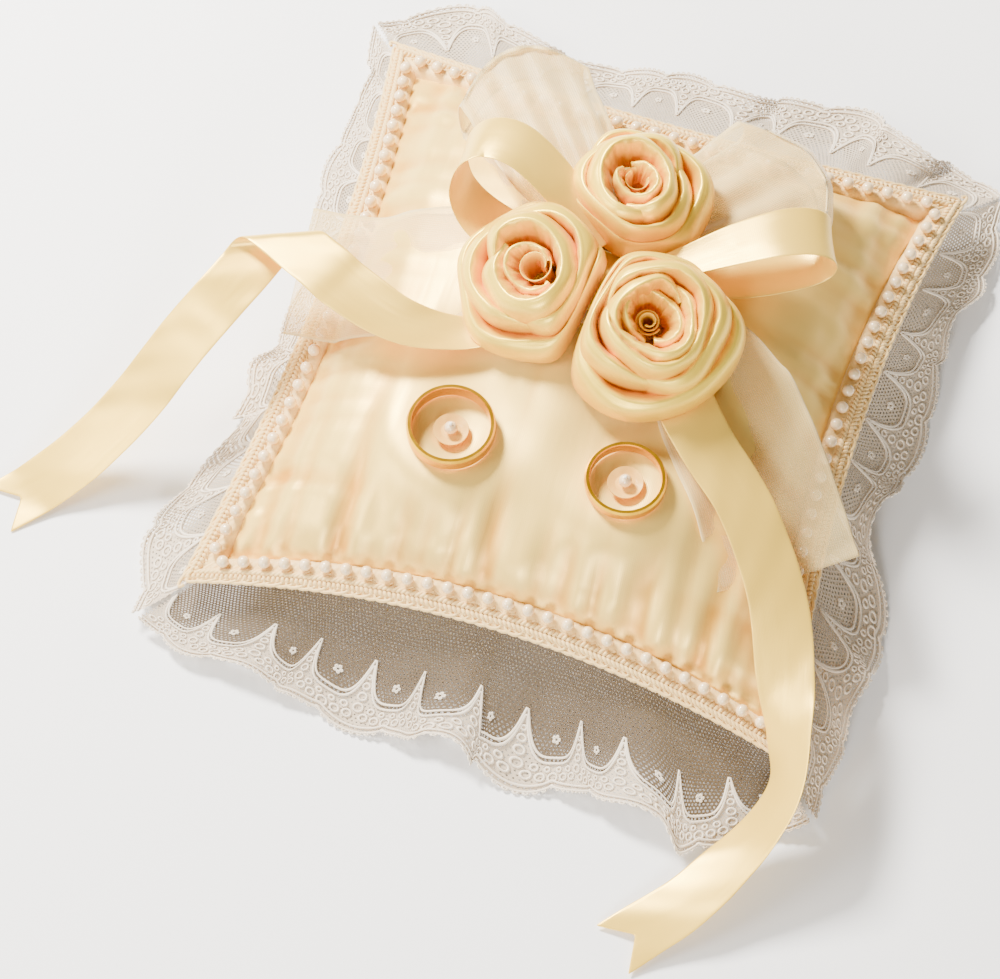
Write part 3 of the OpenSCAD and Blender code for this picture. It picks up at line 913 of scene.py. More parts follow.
    def ring(self, x: float, y: float, radius: float, points: int = 10) -> Array:
        """Closed ring on the flat strip."""
        a = np.arange(points) * 2 * math.pi / points
        return np.stack([x + radius * np.cos(a), y + radius * np.sin(a), 0.15 + 0 * a], 1)

    def embroidery(self) -> list[bmesh.types.BMesh]:
        """Cords of the swags, the hem, the rings and the dot flowers, still flat."""
        half = self.length / 2
        x = np.linspace(-half + 0.2, half - 0.2, self.swags * 36)
        level = 0.2 + 0 * x
        lines = [np.stack([x, self.swag(x, drop), level], 1) for drop in (7.6, 9.0)]
        hem_lines = [np.stack([x, self.hem(x) - inset, level], 1) for inset in (0.0, 1.5)]
        wide, fine = [], []
        for i in range(self.swags):
            middle = -half + (i + 0.5) * self.pitch
            for dx, dy, r in SWAG_RINGS:
                wide.append(self.ring(middle + dx, self.depth - dy, r))
            tip = middle + self.pitch / 2
            for dy, r in TIP_RINGS:
                if tip < half - 1.5:
                    wide.append(self.ring(tip, self.depth - dy, r))
            for petal in range(5):
                a = 2 * math.pi * petal / 5
                across, up = 0.75 * math.cos(a), 0.75 * math.sin(a)
                fine.append(self.ring(middle + across, self.depth - 13.5 + up, 0.3, 6))
            for step in range(9):
                px = middle - self.pitch / 2 + (step + 0.5) * self.pitch / 9
                fine.append(self.ring(px, float(self.hem(np.array([px]))[0]) + 0.35, 0.42, 7))
        return [tubes("swags", lines, LINE_CORD), tubes("hem", hem_lines, LINE_CORD),
                tubes("rings", wide, RING_CORD, True), tubes("dots", fine, DOT_CORD, True)]

    def build(self) -> None:
        """Make this side's net and its embroidery."""
        name = self.line.side.name.lower()
        net = self.net()
        flat = np.array([v.co[:] for v in net.verts])
        shape(net, self.lay)
        net_obj = to_object(net, f"lace_net_{name}")
        stitched = smooth((flat[:, 1] - self.swag(flat[:, 0], 8.6)) / 2.0)
        # Painted light by side: the least share of the lighter tone, so a side in open light is painted
        # lighter throughout.
        mark(net_obj, "stitch_and_painted_light", np.maximum(stitched, self.painted_side_light))
        cords = bmesh.new()
        for part in self.embroidery():
            scratch = bpy.data.meshes.new("part")
            part.to_mesh(scratch)
            part.free()
            cords.from_mesh(scratch)
            bpy.data.meshes.remove(scratch)
        shape(cords, self.lay)
        cord_obj = to_object(cords, f"lace_embroidery_{name}")
        dress(net_obj, Finish.NET, nodes=(f"lace_{name}",))
        dress(cord_obj, Finish.LACE)


# Each side's reach from the seam, depth of lace, painted light of the net, and bulges of the hem given
# as middle, width and extra reach. The real net is one colour: its lightness by side is painted light and
# shade.
RUFFLES = {
    Side.FRONT: (34.0, 41.0, 0.0, ((-0.5, 0.25, -6.0), (0.12, 0.22, -2.5), (0.68, 0.16, 6.0))),
    Side.RIGHT: (18.0, 30.0, 0.85, ((-0.62, 0.25, 6.0), (0.1, 0.2, -2.0), (0.7, 0.2, 3.0))),
    Side.BACK: (32.0, 39.0, 0.95, ((0.75, 0.15, 5.0), (0.3, 0.15, -5.0), (-0.4, 0.25, 2.0))),
    Side.LEFT: (16.0, 29.0, 0.7, ((0.7, 0.22, 7.0), (0.1, 0.2, -2.0))),
}


@dataclass
class Braid:
    """Gimp braid of one side: a woven band, two twisted cord pairs and thread loops."""

    line: EdgeLine
    tuck: float = -1.6
    inner: float = 0.6
    outer: float = 8.0
    high: float = 3.2
    fall: float = 2.8
    pearls: int = 28

    def level(self, out: Array) -> Array:
        """Height of the band's face above the seam."""
        return self.high - (out - self.inner) * self.fall / (self.outer - self.inner)

    def band(self) -> bpy.types.Object:
        """The woven band under the cords."""
        bm = grid_mesh(220, 14)
        lay_uv(bm, 160, 8)

        def place(flat: Array) -> Array:
            out = self.tuck + (flat[:, 1] + 1) / 2 * (self.outer - 0.6 - self.tuck)
            rib = 0.18 * np.sin(flat[:, 0] * 80 * math.pi)
            rise = self.level(np.maximum(out, self.inner)) - 0.7 + rib
            share = smooth((out - self.tuck) / (self.inner + 0.6 - self.tuck))
            return self.line.beside(flat[:, 0] * (1 + 0 * out), out, rise * share + 0.4)

        shape(bm, place)
        obj = to_object(bm, f"braid_band_{self.line.side.name.lower()}")
        thicken(obj, 0.9)
        return obj

    def twisted(self, out: float, up: float, radius: float, pitch: float, hand: int) -> list[Array]:
        """Two strands wound round each other along the side."""
        length = 2 * (self.line.along + out)
        count = int(length / pitch * 9)
        u = np.linspace(-1, 1, count)
        angle = hand * 2 * math.pi * u * length / 2 / pitch
        strands = []
        for phase in (0.0, math.pi):
            swing = radius * np.cos(angle + phase)
            rise = radius * np.sin(angle + phase)
            strands.append(self.line.beside(u, out + swing, self.level(out) + up + rise))
        return strands

    def loops(self) -> list[Array]:
        """Thread loops that scallop the outer border."""
        count = self.pearls
        arcs = []
        for i in range(count):
            for phase in (0.0, 0.5):
                a = np.linspace(-0.1, math.pi + 0.1, 9)
                u = 2 * (i + 0.5 + phase + 0.42 * np.cos(a)) / count - 1
                out = self.outer - 1.6 + 1.6 * np.sin(a)
                arcs.append(self.line.beside(u, out, self.level(out) + 0.1 + 0.25 * phase))
        return arcs

    def cradles(self) -> list[Array]:
        """Thread loops that hold each pearl."""
        arcs = []
        for i in range(self.pearls):
            a = np.linspace(0.15 * math.pi, 0.85 * math.pi, 8)
            u = 0.985 * (2 * (i + 0.5) / self.pearls - 1) + 0.9 / self.pearls * np.cos(a)
            out = 2.3 + 1.7 * np.sin(a)
            arcs.append(self.line.beside(u, out, self.level(out) + 0.15))
        return arcs

    def build(self) -> None:
        """Make this side's band and its cords."""
        name = self.line.side.name.lower()
        dress(self.band(), Finish.BRAID, nodes=(f"braid_{name}",))
        pairs = self.twisted(4.7, 0.35, 0.42, 2.4, 1) + self.twisted(6.1, 0.3, 0.42, 2.4, -1)
        for part, paths, radius in (("braid_cords", pairs, 0.5), ("braid_loops", self.loops(), 0.48),
                                    ("pearl_threads", self.cradles(), 0.36)):
            dress(to_object(tubes("thread", paths, radius), f"{part}_{name}"), Finish.BRAID)
        dress_node(f"trim_pearls_{name}", Finish.PEARL)


def dress_node(node: str, finish: Finish) -> None:
    """Give a CAD node that shows as it is its finish."""
    obj = bpy.data.objects[node]
    obj.data.materials.clear()
    obj.data.materials.append(finish_of(finish))
    LOG.info("%s: CAD node in %s", node, finish.name.lower())


# ---- Ribbons --------------------------------------------------------------
@dataclass(frozen=True)
class Route:
    """Centre line of a ribbon with its width direction, width and cup at each point."""

    points: tuple[tuple[float, float, float], ...]
    across: tuple[tuple[float, float, float], ...]
    widths: tuple[float, ...]
    cups: tuple[float, ...]

    def samples(self, count: int) -> tuple[Array, Array, Array, Array, Array, Array]:
        """Even samples along the smooth route.

        Args:
            count: how many.

        Returns:
            Centres, width directions, face normals, half widths, cups and the run length at each.
        """
        rows = np.hstack([np.array(self.points, float), np.array(self.across, float),
                          np.array(self.widths, float)[:, None], np.array(self.cups, float)[:, None]])
        padded = np.vstack([rows[:1], rows, rows[-1:]])
        fine = []
        for i in range(1, len(padded) - 2):
            a, b, c, d = padded[i - 1:i + 3]
            x = np.linspace(0, 1, 40, endpoint=False)[:, None]
            fine.append(0.5 * (2 * b + (c - a) * x + (2 * a - 5 * b + 4 * c - d) * x**2
                               + (3 * b - a - 3 * c + d) * x**3))
        line = np.vstack(fine + [rows[-1:]])
        run = np.concatenate([[0], np.cumsum(np.linalg.norm(np.diff(line[:, :3], axis=0), axis=1))])
        even = np.linspace(0, run[-1], count)
        line = np.stack([np.interp(even, run, line[:, j]) for j in range(line.shape[1])], 1)
        centre = line[:, :3]
        ahead = unit(np.gradient(centre, axis=0))
        across = line[:, 3:6] - ahead * np.sum(line[:, 3:6] * ahead, 1, keepdims=True)
        across = unit(across)
        return centre, across, np.cross(ahead, across), line[:, 6] / 2, line[:, 7], even


@dataclass(frozen=True)
class Crease:
    """A soft slanting fold that turns a ribbon over and back beneath itself."""

    place: tuple[float, float]
    line: tuple[float, float]
    radius: float

    def parts(self, points: Array) -> tuple[Array, Array, Array, Array]:
        """Directions along and past the fold, and each point's distance both ways."""
        along = unit(np.array(self.line))
        past = np.array([-along[1], along[0]])
        flat = points[:, :2] - np.array(self.place)
        return along, past, flat @ along, flat @ past

    def fold(self, points: Array) -> Array:
        """Wrap what lies past the fold round it and bring it back underneath."""
        along, past, p, q = self.parts(points)
        r = self.radius
        angle = np.clip(q / r, 0, math.pi)
        back = np.where(q > math.pi * r, math.pi * r - q, 0)
        out = np.where(q < 0, q, r * np.sin(angle) + back)
        placed = points.copy()
        placed[:, :2] = np.array(self.place) + p[:, None] * along + out[:, None] * past
        placed[:, 2] -= r * (1 - np.cos(angle))
        return placed

    def unfolded(self, point: tuple[float, float, float]) -> tuple[float, float, float]:
        """Where a point that lies beneath the fold was before folding."""
        along, past, p, q = self.parts(np.array([point], float))
        flat = np.array(self.place) + p[0] * along + (math.pi * self.radius - q[0]) * past
        return (float(flat[0]), float(flat[1]), point[2])


@dataclass
class Ribbon:
    """A woven ribbon laid along a route."""

    name: str
    route: Route
    notch: float = 0.0
    columns: int = 16
    pace: float = 1.2
    ripple: float = 0.0
    ripple_seed: int = 0
    thickness: float = 0.3
    on_pillow: PillowShape | None = None
    levels: int = 1
    bend: Callable[[Array], Array] | None = None
    arch: tuple[float, float, float] = (0.0, 0.0, 0.0)
    pleat: float = 0.0
    pleats: float = 3.5

    def build(self) -> tuple[bpy.types.Object, float, float]:
        """Make the ribbon.

        Returns:
            The object, the ribbon's width and its length.
        """
        centre, across, face, half, cup, run = self.route.samples(400)
        length, width = run[-1], 2 * half.max()
        rows = max(8, int(length / self.pace))
        bm = grid_mesh(self.columns, rows)
        lay_uv(bm, width, length)
        edges: list[Array] = []

        def place(flat: Array) -> Array:
            u, s = flat[:, 0], (flat[:, 1] + 1) / 2 * length
            s = s * (1 - self.notch * (1 - abs(u)) / length)
            pick = [np.stack([np.interp(s, run, a[:, j]) for j in range(3)], 1)
                    for a in (centre, across, face)]
            h, c = np.interp(s, run, half), np.interp(s, run, cup)
            wave = self.ripple * waves(s + 9 * u, self.ripple_seed, (13, 21, 34)) * (0.4 + 0.6 * abs(u))
            edges.append(abs(u))
            middle = np.sin(math.pi * np.clip(s / length, 0, 1))
            fold = self.pleat * np.cos(self.pleats * math.pi * u + 0.8) * (1.15 - middle)
            rise = c * (1 - u * u) + wave + fold
            points = pick[0] + pick[1] * (u * h)[:, None] + pick[2] * rise[:, None]
            points = points - np.array(self.arch) * (u * u * middle**3)[:, None]
            if self.bend is not None:
                points = self.bend(points)
            if self.on_pillow is not None:
                floor = self.on_pillow.rest(points[:, 0], points[:, 1]) + 0.5
                points[:, 2] = np.maximum(points[:, 2], floor)
            points[:, 2] = np.maximum(points[:, 2], 0.25)
            return points

        shape(bm, place)
        obj = to_object(bm, self.name)
        mark(obj, "edge", smooth((edges[0] - 0.93) / 0.05))
        # The fold attribute holds painted shade; ribbons have none.
        mark(obj, "fold", 0 * edges[0])
        thicken(obj, self.thickness)
        if self.levels:
            subdivide(obj, self.levels)
        return obj, width, length


def drop_route(place: tuple[float, float, float], tilt: float, turn: float, length: float, height: float,
               width: float, pinch: float = 0.45, lean: float = 0.0) -> Route:
    """Route of a bow loop: out along its lower leg, round its far end and back on top.

    Args:
        place: where its narrow end is.
        tilt: degrees about Y.
        turn: degrees about Z.
        length: how far it reaches.
        height: thickness of the round end.
        width: ribbon width.
        pinch: share of the width at the narrow end.
        lean: sideways lean of the upper leg's width direction.

    Returns:
        The route.
    """
    r = height / 2
    turns = np.radians(np.linspace(-100, 100, 9))
    x = np.concatenate([[0, length * 0.3], length - r + r * np.cos(turns), [length * 0.3, 0]])
    z = np.concatenate([[-1.2, -0.55 * r - 0.6], r * np.sin(turns), [0.55 * r + 0.6, 1.2]])
    flat = np.stack([x, 0 * x, z], 1)
    points = turned(flat, tilt, turn) + np.array(place)
    side = np.stack([lean * np.linspace(-1, 1, len(x)), 1 + 0 * x, 0 * x], 1)
    across = turned(side, tilt, turn)
    share = smooth(x / (length * 0.45))
    widths = width * (pinch + (1 - pinch) * share)
    return Route(tuple(map(tuple, points)), tuple(map(tuple, across)), tuple(widths), tuple(0.8 * share))


@dataclass
class Bow:
    """The narrow satin bow over the wide sheer bow."""

    form: PillowShape
    sheer: float = 38.0

    @staticmethod
    def piece(ribbon: Ribbon, cloth: Finish, nodes: Sequence[str], held: str,
              body: str | None = ROOT) -> bpy.types.Object:
        """Make and dress one ribbon.

        Args:
            ribbon: the ribbon.
            cloth: RIBBON for satin or SHEER for organza.
            nodes: CAD nodes that it replaces.
            held: how the ribbon keeps its shape; not used.
            body: the body it moves with, or None to leave it unattached.

        Returns:
            The object.
        """
        obj, width, length = ribbon.build()
        dress(obj, cloth, body, nodes)
        return obj

    def loops(self) -> None:
        """The two satin loops and the two sheer loops."""
        left = Route(
            ((-3, 13, 51), (-18, 15, 51), (-32, 18, 52), (-40, 23, 56), (-41.5, 29, 61.5),
             (-37, 33.5, 65.5), (-28, 33, 66.5), (-17, 28.5, 62.5), (-8, 22, 57.5), (-3, 17, 54)),
            ((0.1, 1, 0), (0, 1, 0), (0, 0.98, -0.15), (0, 0.93, -0.3), (-0.05, 0.93, -0.3),
             (-0.1, 0.95, -0.25), (0, 0.96, -0.2), (0.25, 0.92, -0.15), (0.5, 0.85, -0.1), (0.6, 0.8, 0)),
            (7, 12, 15, 15, 15, 15, 15, 13, 9, 7), (0.3, 0.3, 0.3, 0.4, 0.5, 0.5, 0.5, 0.6, 0.6, 0.4))
        right = Route(
            ((6, 12, 51), (19, 18, 50.5), (33, 24.5, 49.5), (45, 30, 50), (52, 34, 52.5), (54, 36, 57),
             (50, 35.5, 61), (42, 32, 62.5), (32, 27, 60), (21, 20.5, 56.5), (12, 15, 53.5)),
            ((-0.4, 0.9, 0), (-0.4, 0.9, 0), (-0.4, 0.9, 0), (-0.4, 0.9, -0.1), (-0.4, 0.9, -0.1),
             (-0.35, 0.9, -0.15), (-0.3, 0.93, -0.15), (-0.3, 0.93, -0.15), (-0.35, 0.92, -0.1),
             (-0.4, 0.9, 0), (-0.4, 0.9, 0)),
            (7, 12, 15, 15, 15, 15, 15, 15, 13, 9, 7), (0.3,) * 11)
        for part, route in (("satin_loop_left", left), ("satin_loop_right", right)):
            self.piece(Ribbon(f"{part}_ribbon", route, pace=0.9), Finish.RIBBON, (part,), "folded")
        back = drop_route((-4, 22, 49.5), 7, 128, 66, 13, self.sheer - 3, pinch=0.25)
        side = drop_route((11, 26, 49), 9, 51, 53, 11, self.sheer, pinch=0.25)
        for part, route, seed, arch, pleat, pleats in (
                ("sheer_loop_left", back, 3, (-6.5, 9.5, 2.0), 1.5, 4.5),
                ("sheer_loop_right", side, 5, (8.0, 7.0, 1.5), 1.4, 3.5)):
            ribbon = Ribbon(f"{part}_ribbon", route, ripple=0.8, ripple_seed=seed, columns=40,
                            arch=arch, pleat=pleat, pleats=pleats, levels=0, thickness=0.15)
            self.piece(ribbon, Finish.SHEER, (part,), "folded")

    def knots(self) -> None:
        """The pinched crossings under the roses."""
        for part, cloth, z, span, wide in (("satin_knot", Finish.RIBBON, 49.4, 9, 13.0),
                                           ("sheer_knot", Finish.SHEER, 47.6, 12, 15.0)):
            x, y = KNOT
            points = ((x, y - span, z - 0.8), (x, y - span / 3, z + 0.6), (x, y + span / 3, z + 0.6),
                      (x, y + span, z - 0.8))
            route = Route(points, ((1, 0, 0),) * 4, (wide, wide * 0.8, wide * 0.8, wide), (0.5,) * 4)
            band = Ribbon(f"{part}_band", route, ripple=0.3, columns=10)
            self.piece(band, cloth, (part,), "gathered")

    def tails(self) -> None:
        """The two satin tails, each whole from the knot to its notched end."""
        crease = Crease((-79.0, -1.6), (0.937, 0.349), 2.6)
        beyond = ((-91, -17, 46.5), (-98.5, -29, 38), (-108.5, -44, 23), (-118.5, -57, 13.0),
                  (-128, -67.5, 7.4), (-135.5, -75.5, 5.7))
        unfolded = tuple(crease.unfolded(spot) for spot in beyond)
        left = Route(
            ((-5.5, 8.5, 49.2), (-14, -2, 48.8), (-22, -9.5, 48), (-31.2, -13.2, 47.6),
             (-45, -14.8, 49.5), (-60, -10.6, 51), (-70, -6, 51.5)) + unfolded,
            ((0.3, 1, 0), (0.3, 1, 0), (0.15, 1, 0), (0.15, 1, 0), (0.25, 1, 0.05), (0.4, 0.9, 0),
             (0.43, 0.9, 0)) + ((0.43, 0.9, 0),) * len(unfolded),
            (8, 9, 9, 10, 13, 15, 15) + (15,) * len(unfolded),
            (0.5, 0.8, 1.0, 1.2, 1.4, 0.7, 0.1, 0.0, 0.3, 0.5, 0.5, 0.3, 0.0))
        right = Route(
            ((10.5, 8.5, 49.2), (18, 3, 49), (26, -6.5, 47.9), (30.5, -13.9, 46.9),
             (38.5, -22.5, 45.6), (53, -34.5, 40.5), (66, -51, 32.5), (73.5, -68, 26.5),
             (78.5, -81, 22.5), (81.5, -92.5, 18.0), (79, -103, 12.5), (73, -114, 8.5),
             (66, -125, 5.0), (58, -134, 2.2), (52, -141, 0.9)),
            ((0.4, 0.9, 0), (0.6, 0.8, 0), (0.89, 0.45, 0), (0.89, 0.45, 0), (0.87, 0.5, -0.1),
             (0.8, 0.55, -0.15), (0.9, 0.4, -0.1), (0.95, 0.15, 0.25), (0.75, -0.1, 0.65),
             (0.6, -0.2, 0.77), (0.7, -0.35, 0.62), (0.8, -0.45, 0.4), (0.8, -0.55, 0.2),
             (0.78, -0.6, 0.05), (0.78, -0.62, 0)),
            (8, 10, 12) + (15,) * 12,
            (0.3, 0.5, 0.6, 0.6, 0.5, 0.4, 0.4, 0.4, 0.5, 0.6, 0.5, 0.4, 0.3, 0.2, 0.0))
        for side, route, bend in (("left", left, crease.fold), ("right", right, None)):
            ribbon = Ribbon(f"satin_tail_{side}_ribbon", route, notch=7.0, ripple=0.22, ripple_seed=7,
                            pace=0.9, bend=bend)
            nodes = (f"satin_root_{side}", f"satin_tail_{side}")
            obj = self.piece(ribbon, Finish.RIBBON, nodes, "draped", body=None)
            pivot, ahead = Vector(self.pivot(side)), Vector(self.heading(side))
            applied(obj)
            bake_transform(obj)

    @staticmethod
    def pivot(side: str) -> tuple[float, float, float]:
        """Where a tail turns, in metres."""
        return (-0.0312, -0.007, 0.04655) if side == "left" else (0.03005, -0.0139, 0.0462)

    @staticmethod
    def heading(side: str) -> tuple[float, float, float]:
        """The way a tail leaves the roses."""
        return (-0.9975, 0.07, 0.0) if side == "left" else (0.4512, -0.8924, 0.0)

    def sheer_tails(self) -> None:
        """The two wide sheer tails that lie on the pillow."""
        left = ((-6, 11), (-18, 10), (-32, 8), (-47, 5), (-62, 3), (-78, 1))
        right = ((14, 10), (30, 3), (38, -6), (47, -17), (57, -29), (67, -43))
        for side, spots in (("left", left), ("right", right)):
            ahead = unit(np.gradient(np.array(spots, float), axis=0))
            points = tuple((x, y, float(self.form.rest(np.array([x]), np.array([y]))[0]) + 0.6)
                           for x, y in spots)
            across = tuple((-h[1], h[0], 0.0) for h in ahead)
            widths = (12.0, 26.0, 36.0, 38.0, 38.0, 38.0)
            route = Route(points, across, widths, (0.0,) * 6)
            ribbon = Ribbon(f"sheer_tail_{side}_ribbon", route, ripple=0.5, ripple_seed=11, columns=32,
                            on_pillow=self.form, levels=0, thickness=0.15, pace=1.5)
            self.piece(ribbon, Finish.SHEER, (f"sheer_tail_{side}",), "laid")

    def build(self) -> None:
        """Make the whole bow."""
        self.loops()
        self.knots()
        self.tails()
        self.sheer_tails()


# ---- Roses ----------------------------------------------------------------
# A strip's width on its cloth map, and its nominal cut width.
STRIP_MAP, STRIP_CUT = 24.0, 20.0
# A bud's size on its cloth map.
BUD_MAP = (60.0, 15.0)


@dataclass(frozen=True)
class Wrap:
    """One folded strip wound round a rose.

    It starts at angle start and winds through sweep degrees, from radius inner to outer. Its fold
    stands at height crest. Inside the fold it slopes face mm in over depth mm down, and outside it
    rolls roll mm out over fall mm down. Lobe and sides pull the round into a petal's outline.
    """

    start: float
    sweep: float
    inner: float
    outer: float
    crest: float
    face: float
    depth: float
    fall: float
    roll: float
    lobe: float = 0.06
    sides: int = 3
    slack: float = 0.5
    lip: float = 0.6


@dataclass
class Rose:
    """A ribbon rose: a rolled bud and folded strips wound round it."""

    name: str
    centre: tuple[float, float]
    lean: tuple[float, float]
    spin: float
    wraps: tuple[Wrap, ...]
    loose: float
    bud_turn: float
    bud_radii: tuple[float, float]
    bud_height: float
    bud_shift: tuple[float, float]
    size: float = 1.0
    foot_z: float = 50.8
    lowest_z: float = 47.5
    press: float = 6.0
    neighbours: tuple[tuple[float, float], ...] = ()

    def stand(self, points: Array) -> Array:
        """Lean the rose, set it on the bow and flatten it where it meets its neighbours."""
        a, b = math.radians(self.lean[0]), math.radians(self.lean[1])
        about_x = np.array([[1, 0, 0], [0, math.cos(a), -math.sin(a)], [0, math.sin(a), math.cos(a)]])
        about_y = np.array([[math.cos(b), 0, math.sin(b)], [0, 1, 0], [-math.sin(b), 0, math.cos(b)]])
        placed = points * self.size @ (about_y @ about_x).T
        placed = placed + np.array([*self.centre, self.foot_z])
        for other in self.neighbours:
            gap = np.array(other) - np.array(self.centre)
            far = np.linalg.norm(gap)
            way = gap / far
            reach = (placed[:, :2] - np.array(self.centre)) @ way
            level = far / 2 - 0.3 - self.press
            over = reach - level
            eased = level + self.press * (1 - np.exp(-np.maximum(over, 0) / self.press))
            kept = np.where(over > 0, eased, reach)
            placed[:, :2] += (kept - reach)[:, None] * way
        placed[:, 2] = np.maximum(placed[:, 2], self.lowest_z)
        return placed

    def wrap_mesh(self, wrap: Wrap, seed: int) -> tuple[bmesh.types.BMesh, list[Array]]:
        """One strip: its face slopes up and out to a folded crest, and its back drops beneath."""
        bm = grid_mesh(int(wrap.sweep / 4), 34)
        lay_uv(bm, math.radians(wrap.sweep) * (wrap.inner + wrap.outer) / 2, STRIP_MAP)
        depth: list[Array] = []

        def place(flat: Array) -> Array:
            a, h = (flat[:, 0] + 1) / 2, (flat[:, 1] + 1) / 2
            angle = np.radians(self.spin + wrap.start + wrap.sweep * a)
            slack = wrap.slack * (0.5 + 0.5 * np.cos(angle - math.radians(self.loose)))
            tucked = smooth(1 - a / 0.14) + smooth((a - 0.86) / 0.14)
            round_ = np.cos(wrap.sides * angle + seed)
            base = (wrap.inner + (wrap.outer - wrap.inner) * a) * (1 + wrap.lobe * round_) + slack
            base = base * (1 - 0.13 * tucked)
            crest = wrap.crest + 0.8 * np.sin(2 * angle + 1.7 * seed) - 0.3 * slack
            crest = crest - 0.42 * wrap.fall * tucked
            up = np.clip(h / 0.5, 0, 1)
            over = 0.3 * math.pi * np.clip((h - 0.5) / 0.12, 0, 1)
            down = np.clip((h - 0.62) / 0.38, 0, 1)
            face = np.minimum(wrap.face + 0.8 * slack, base - 0.6)
            crease = 0.25 * np.sin(9 * angle + 2.3 * seed) * np.sin(math.pi * up)
            crease = crease + 0.1 * np.sin(23 * angle)
            rolled = 0.16 * np.sin(7 * angle + 1.3 * seed) * np.sin(math.pi * down)
            roll = wrap.roll * (1 + 0.25 * np.sin(angle + 2.1 * seed)) * (1 - 0.6 * np.minimum(tucked, 1))
            radius = base - face * (1 - up) ** 1.15 + wrap.lip * np.sin(over)
            radius = radius + roll * np.sin(math.pi / 2 * down)
            radius = radius + crease * (up < 1) + rolled
            z = crest - wrap.depth * (1 - up) ** 1.75 - wrap.lip * (1 - np.cos(over))
            z = z - wrap.fall * (0.3 * down + 0.7 * down**2)
            # Painted shade: darker low on the inside face and low on the outer roll, none at the crest.
            depth.append(np.where(h < 0.5, np.clip(1.35 * (1 - up), 0, 1) ** 0.8, 0.85 * down**1.6))
            return np.stack([radius * np.cos(angle), radius * np.sin(angle), z], 1)

        shape(bm, place)
        return bm, depth

    def bud_mesh(self) -> tuple[bmesh.types.BMesh, list[Array]]:
        """The rolled centre: a strip wound into a tight cone."""
        bm = grid_mesh(max(50, int(self.bud_turn / 6)), 16)
        lay_uv(bm, *BUD_MAP)
        depth: list[Array] = []
        small, large = self.bud_radii

        def place(flat: Array) -> Array:
            a, h = (flat[:, 0] + 1) / 2, (flat[:, 1] + 1) / 2
            angle = np.radians(self.spin + self.bud_turn * a)
            roll = smooth((h - 0.84) / 0.16)
            radius = small + (large - small) * a + 0.6 * h + 0.5 * roll
            z = (self.bud_height - 1.4 * a) * h - 0.5 * roll**2
            # Painted shade: darker towards the foot of the bud.
            depth.append(np.clip(1.3 - 1.2 * h, 0, 1))
            x = radius * np.cos(angle) + self.bud_shift[0] * h
            return np.stack([x, radius * np.sin(angle) + self.bud_shift[1] * h, z], 1)

        shape(bm, place)
        return bm, depth

    def piece(self, bm: bmesh.types.BMesh, depth: list[Array], part: str, node: Sequence[str],
              flat: tuple[float, float]) -> None:
        shape(bm, self.stand)
        obj = to_object(bm, f"rose_{self.name}_{part}")
        # The fold attribute carries the painted shade of each strip and of the bud.
        mark(obj, "fold", np.clip(depth[0], 0, 1))
        thicken(obj, 0.25)
        subdivide(obj, 1)
        dress(obj, Finish.ROSE, nodes=node)

    def build(self) -> None:
        """Make the bud and every strip."""
        bud, depth = self.bud_mesh()
        wound = math.radians(self.bud_turn) * (sum(self.bud_radii) / 2 + 0.6)
        self.piece(bud, depth, "rolled_bud", (f"rose_{self.name}_bud",), (wound, self.bud_height + 2))
        kinds = ("inner_wrap", "middle_wrap", "outer_wrap")
        for i, wrap in enumerate(self.wraps):
            bm, depth = self.wrap_mesh(wrap, i + 1)
            node = (f"rose_{self.name}_{kinds[i]}",) if i < 3 else ()
            length = math.radians(wrap.sweep) * (wrap.inner + wrap.outer) / 2
            self.piece(bm, depth, f"strip_{i + 1}", node, (length, STRIP_CUT))


ROSE_SPOTS = {"left": (-13.2, 6.2), "back": (1.5, 35.0), "front": (16.3, 1.0)}

# Name, lean, spin, loose side, then the bud's turn, radii, height and shift, and the rose's size.
ROSES = (
    ("left", (14, -12), 0.0, 225.0, 470.0, (1.9, 3.3), 12.0, (0.6, 0.4), 1.06),
    ("back", (0, 2), 130.0, 300.0, 470.0, (1.4, 3.2), 12.8, (0.0, 0.4), 0.98),
    ("front", (12, 8), 250.0, 315.0, 820.0, (0.4, 2.2), 11.0, (-1.0, -0.8), 1.08),
)

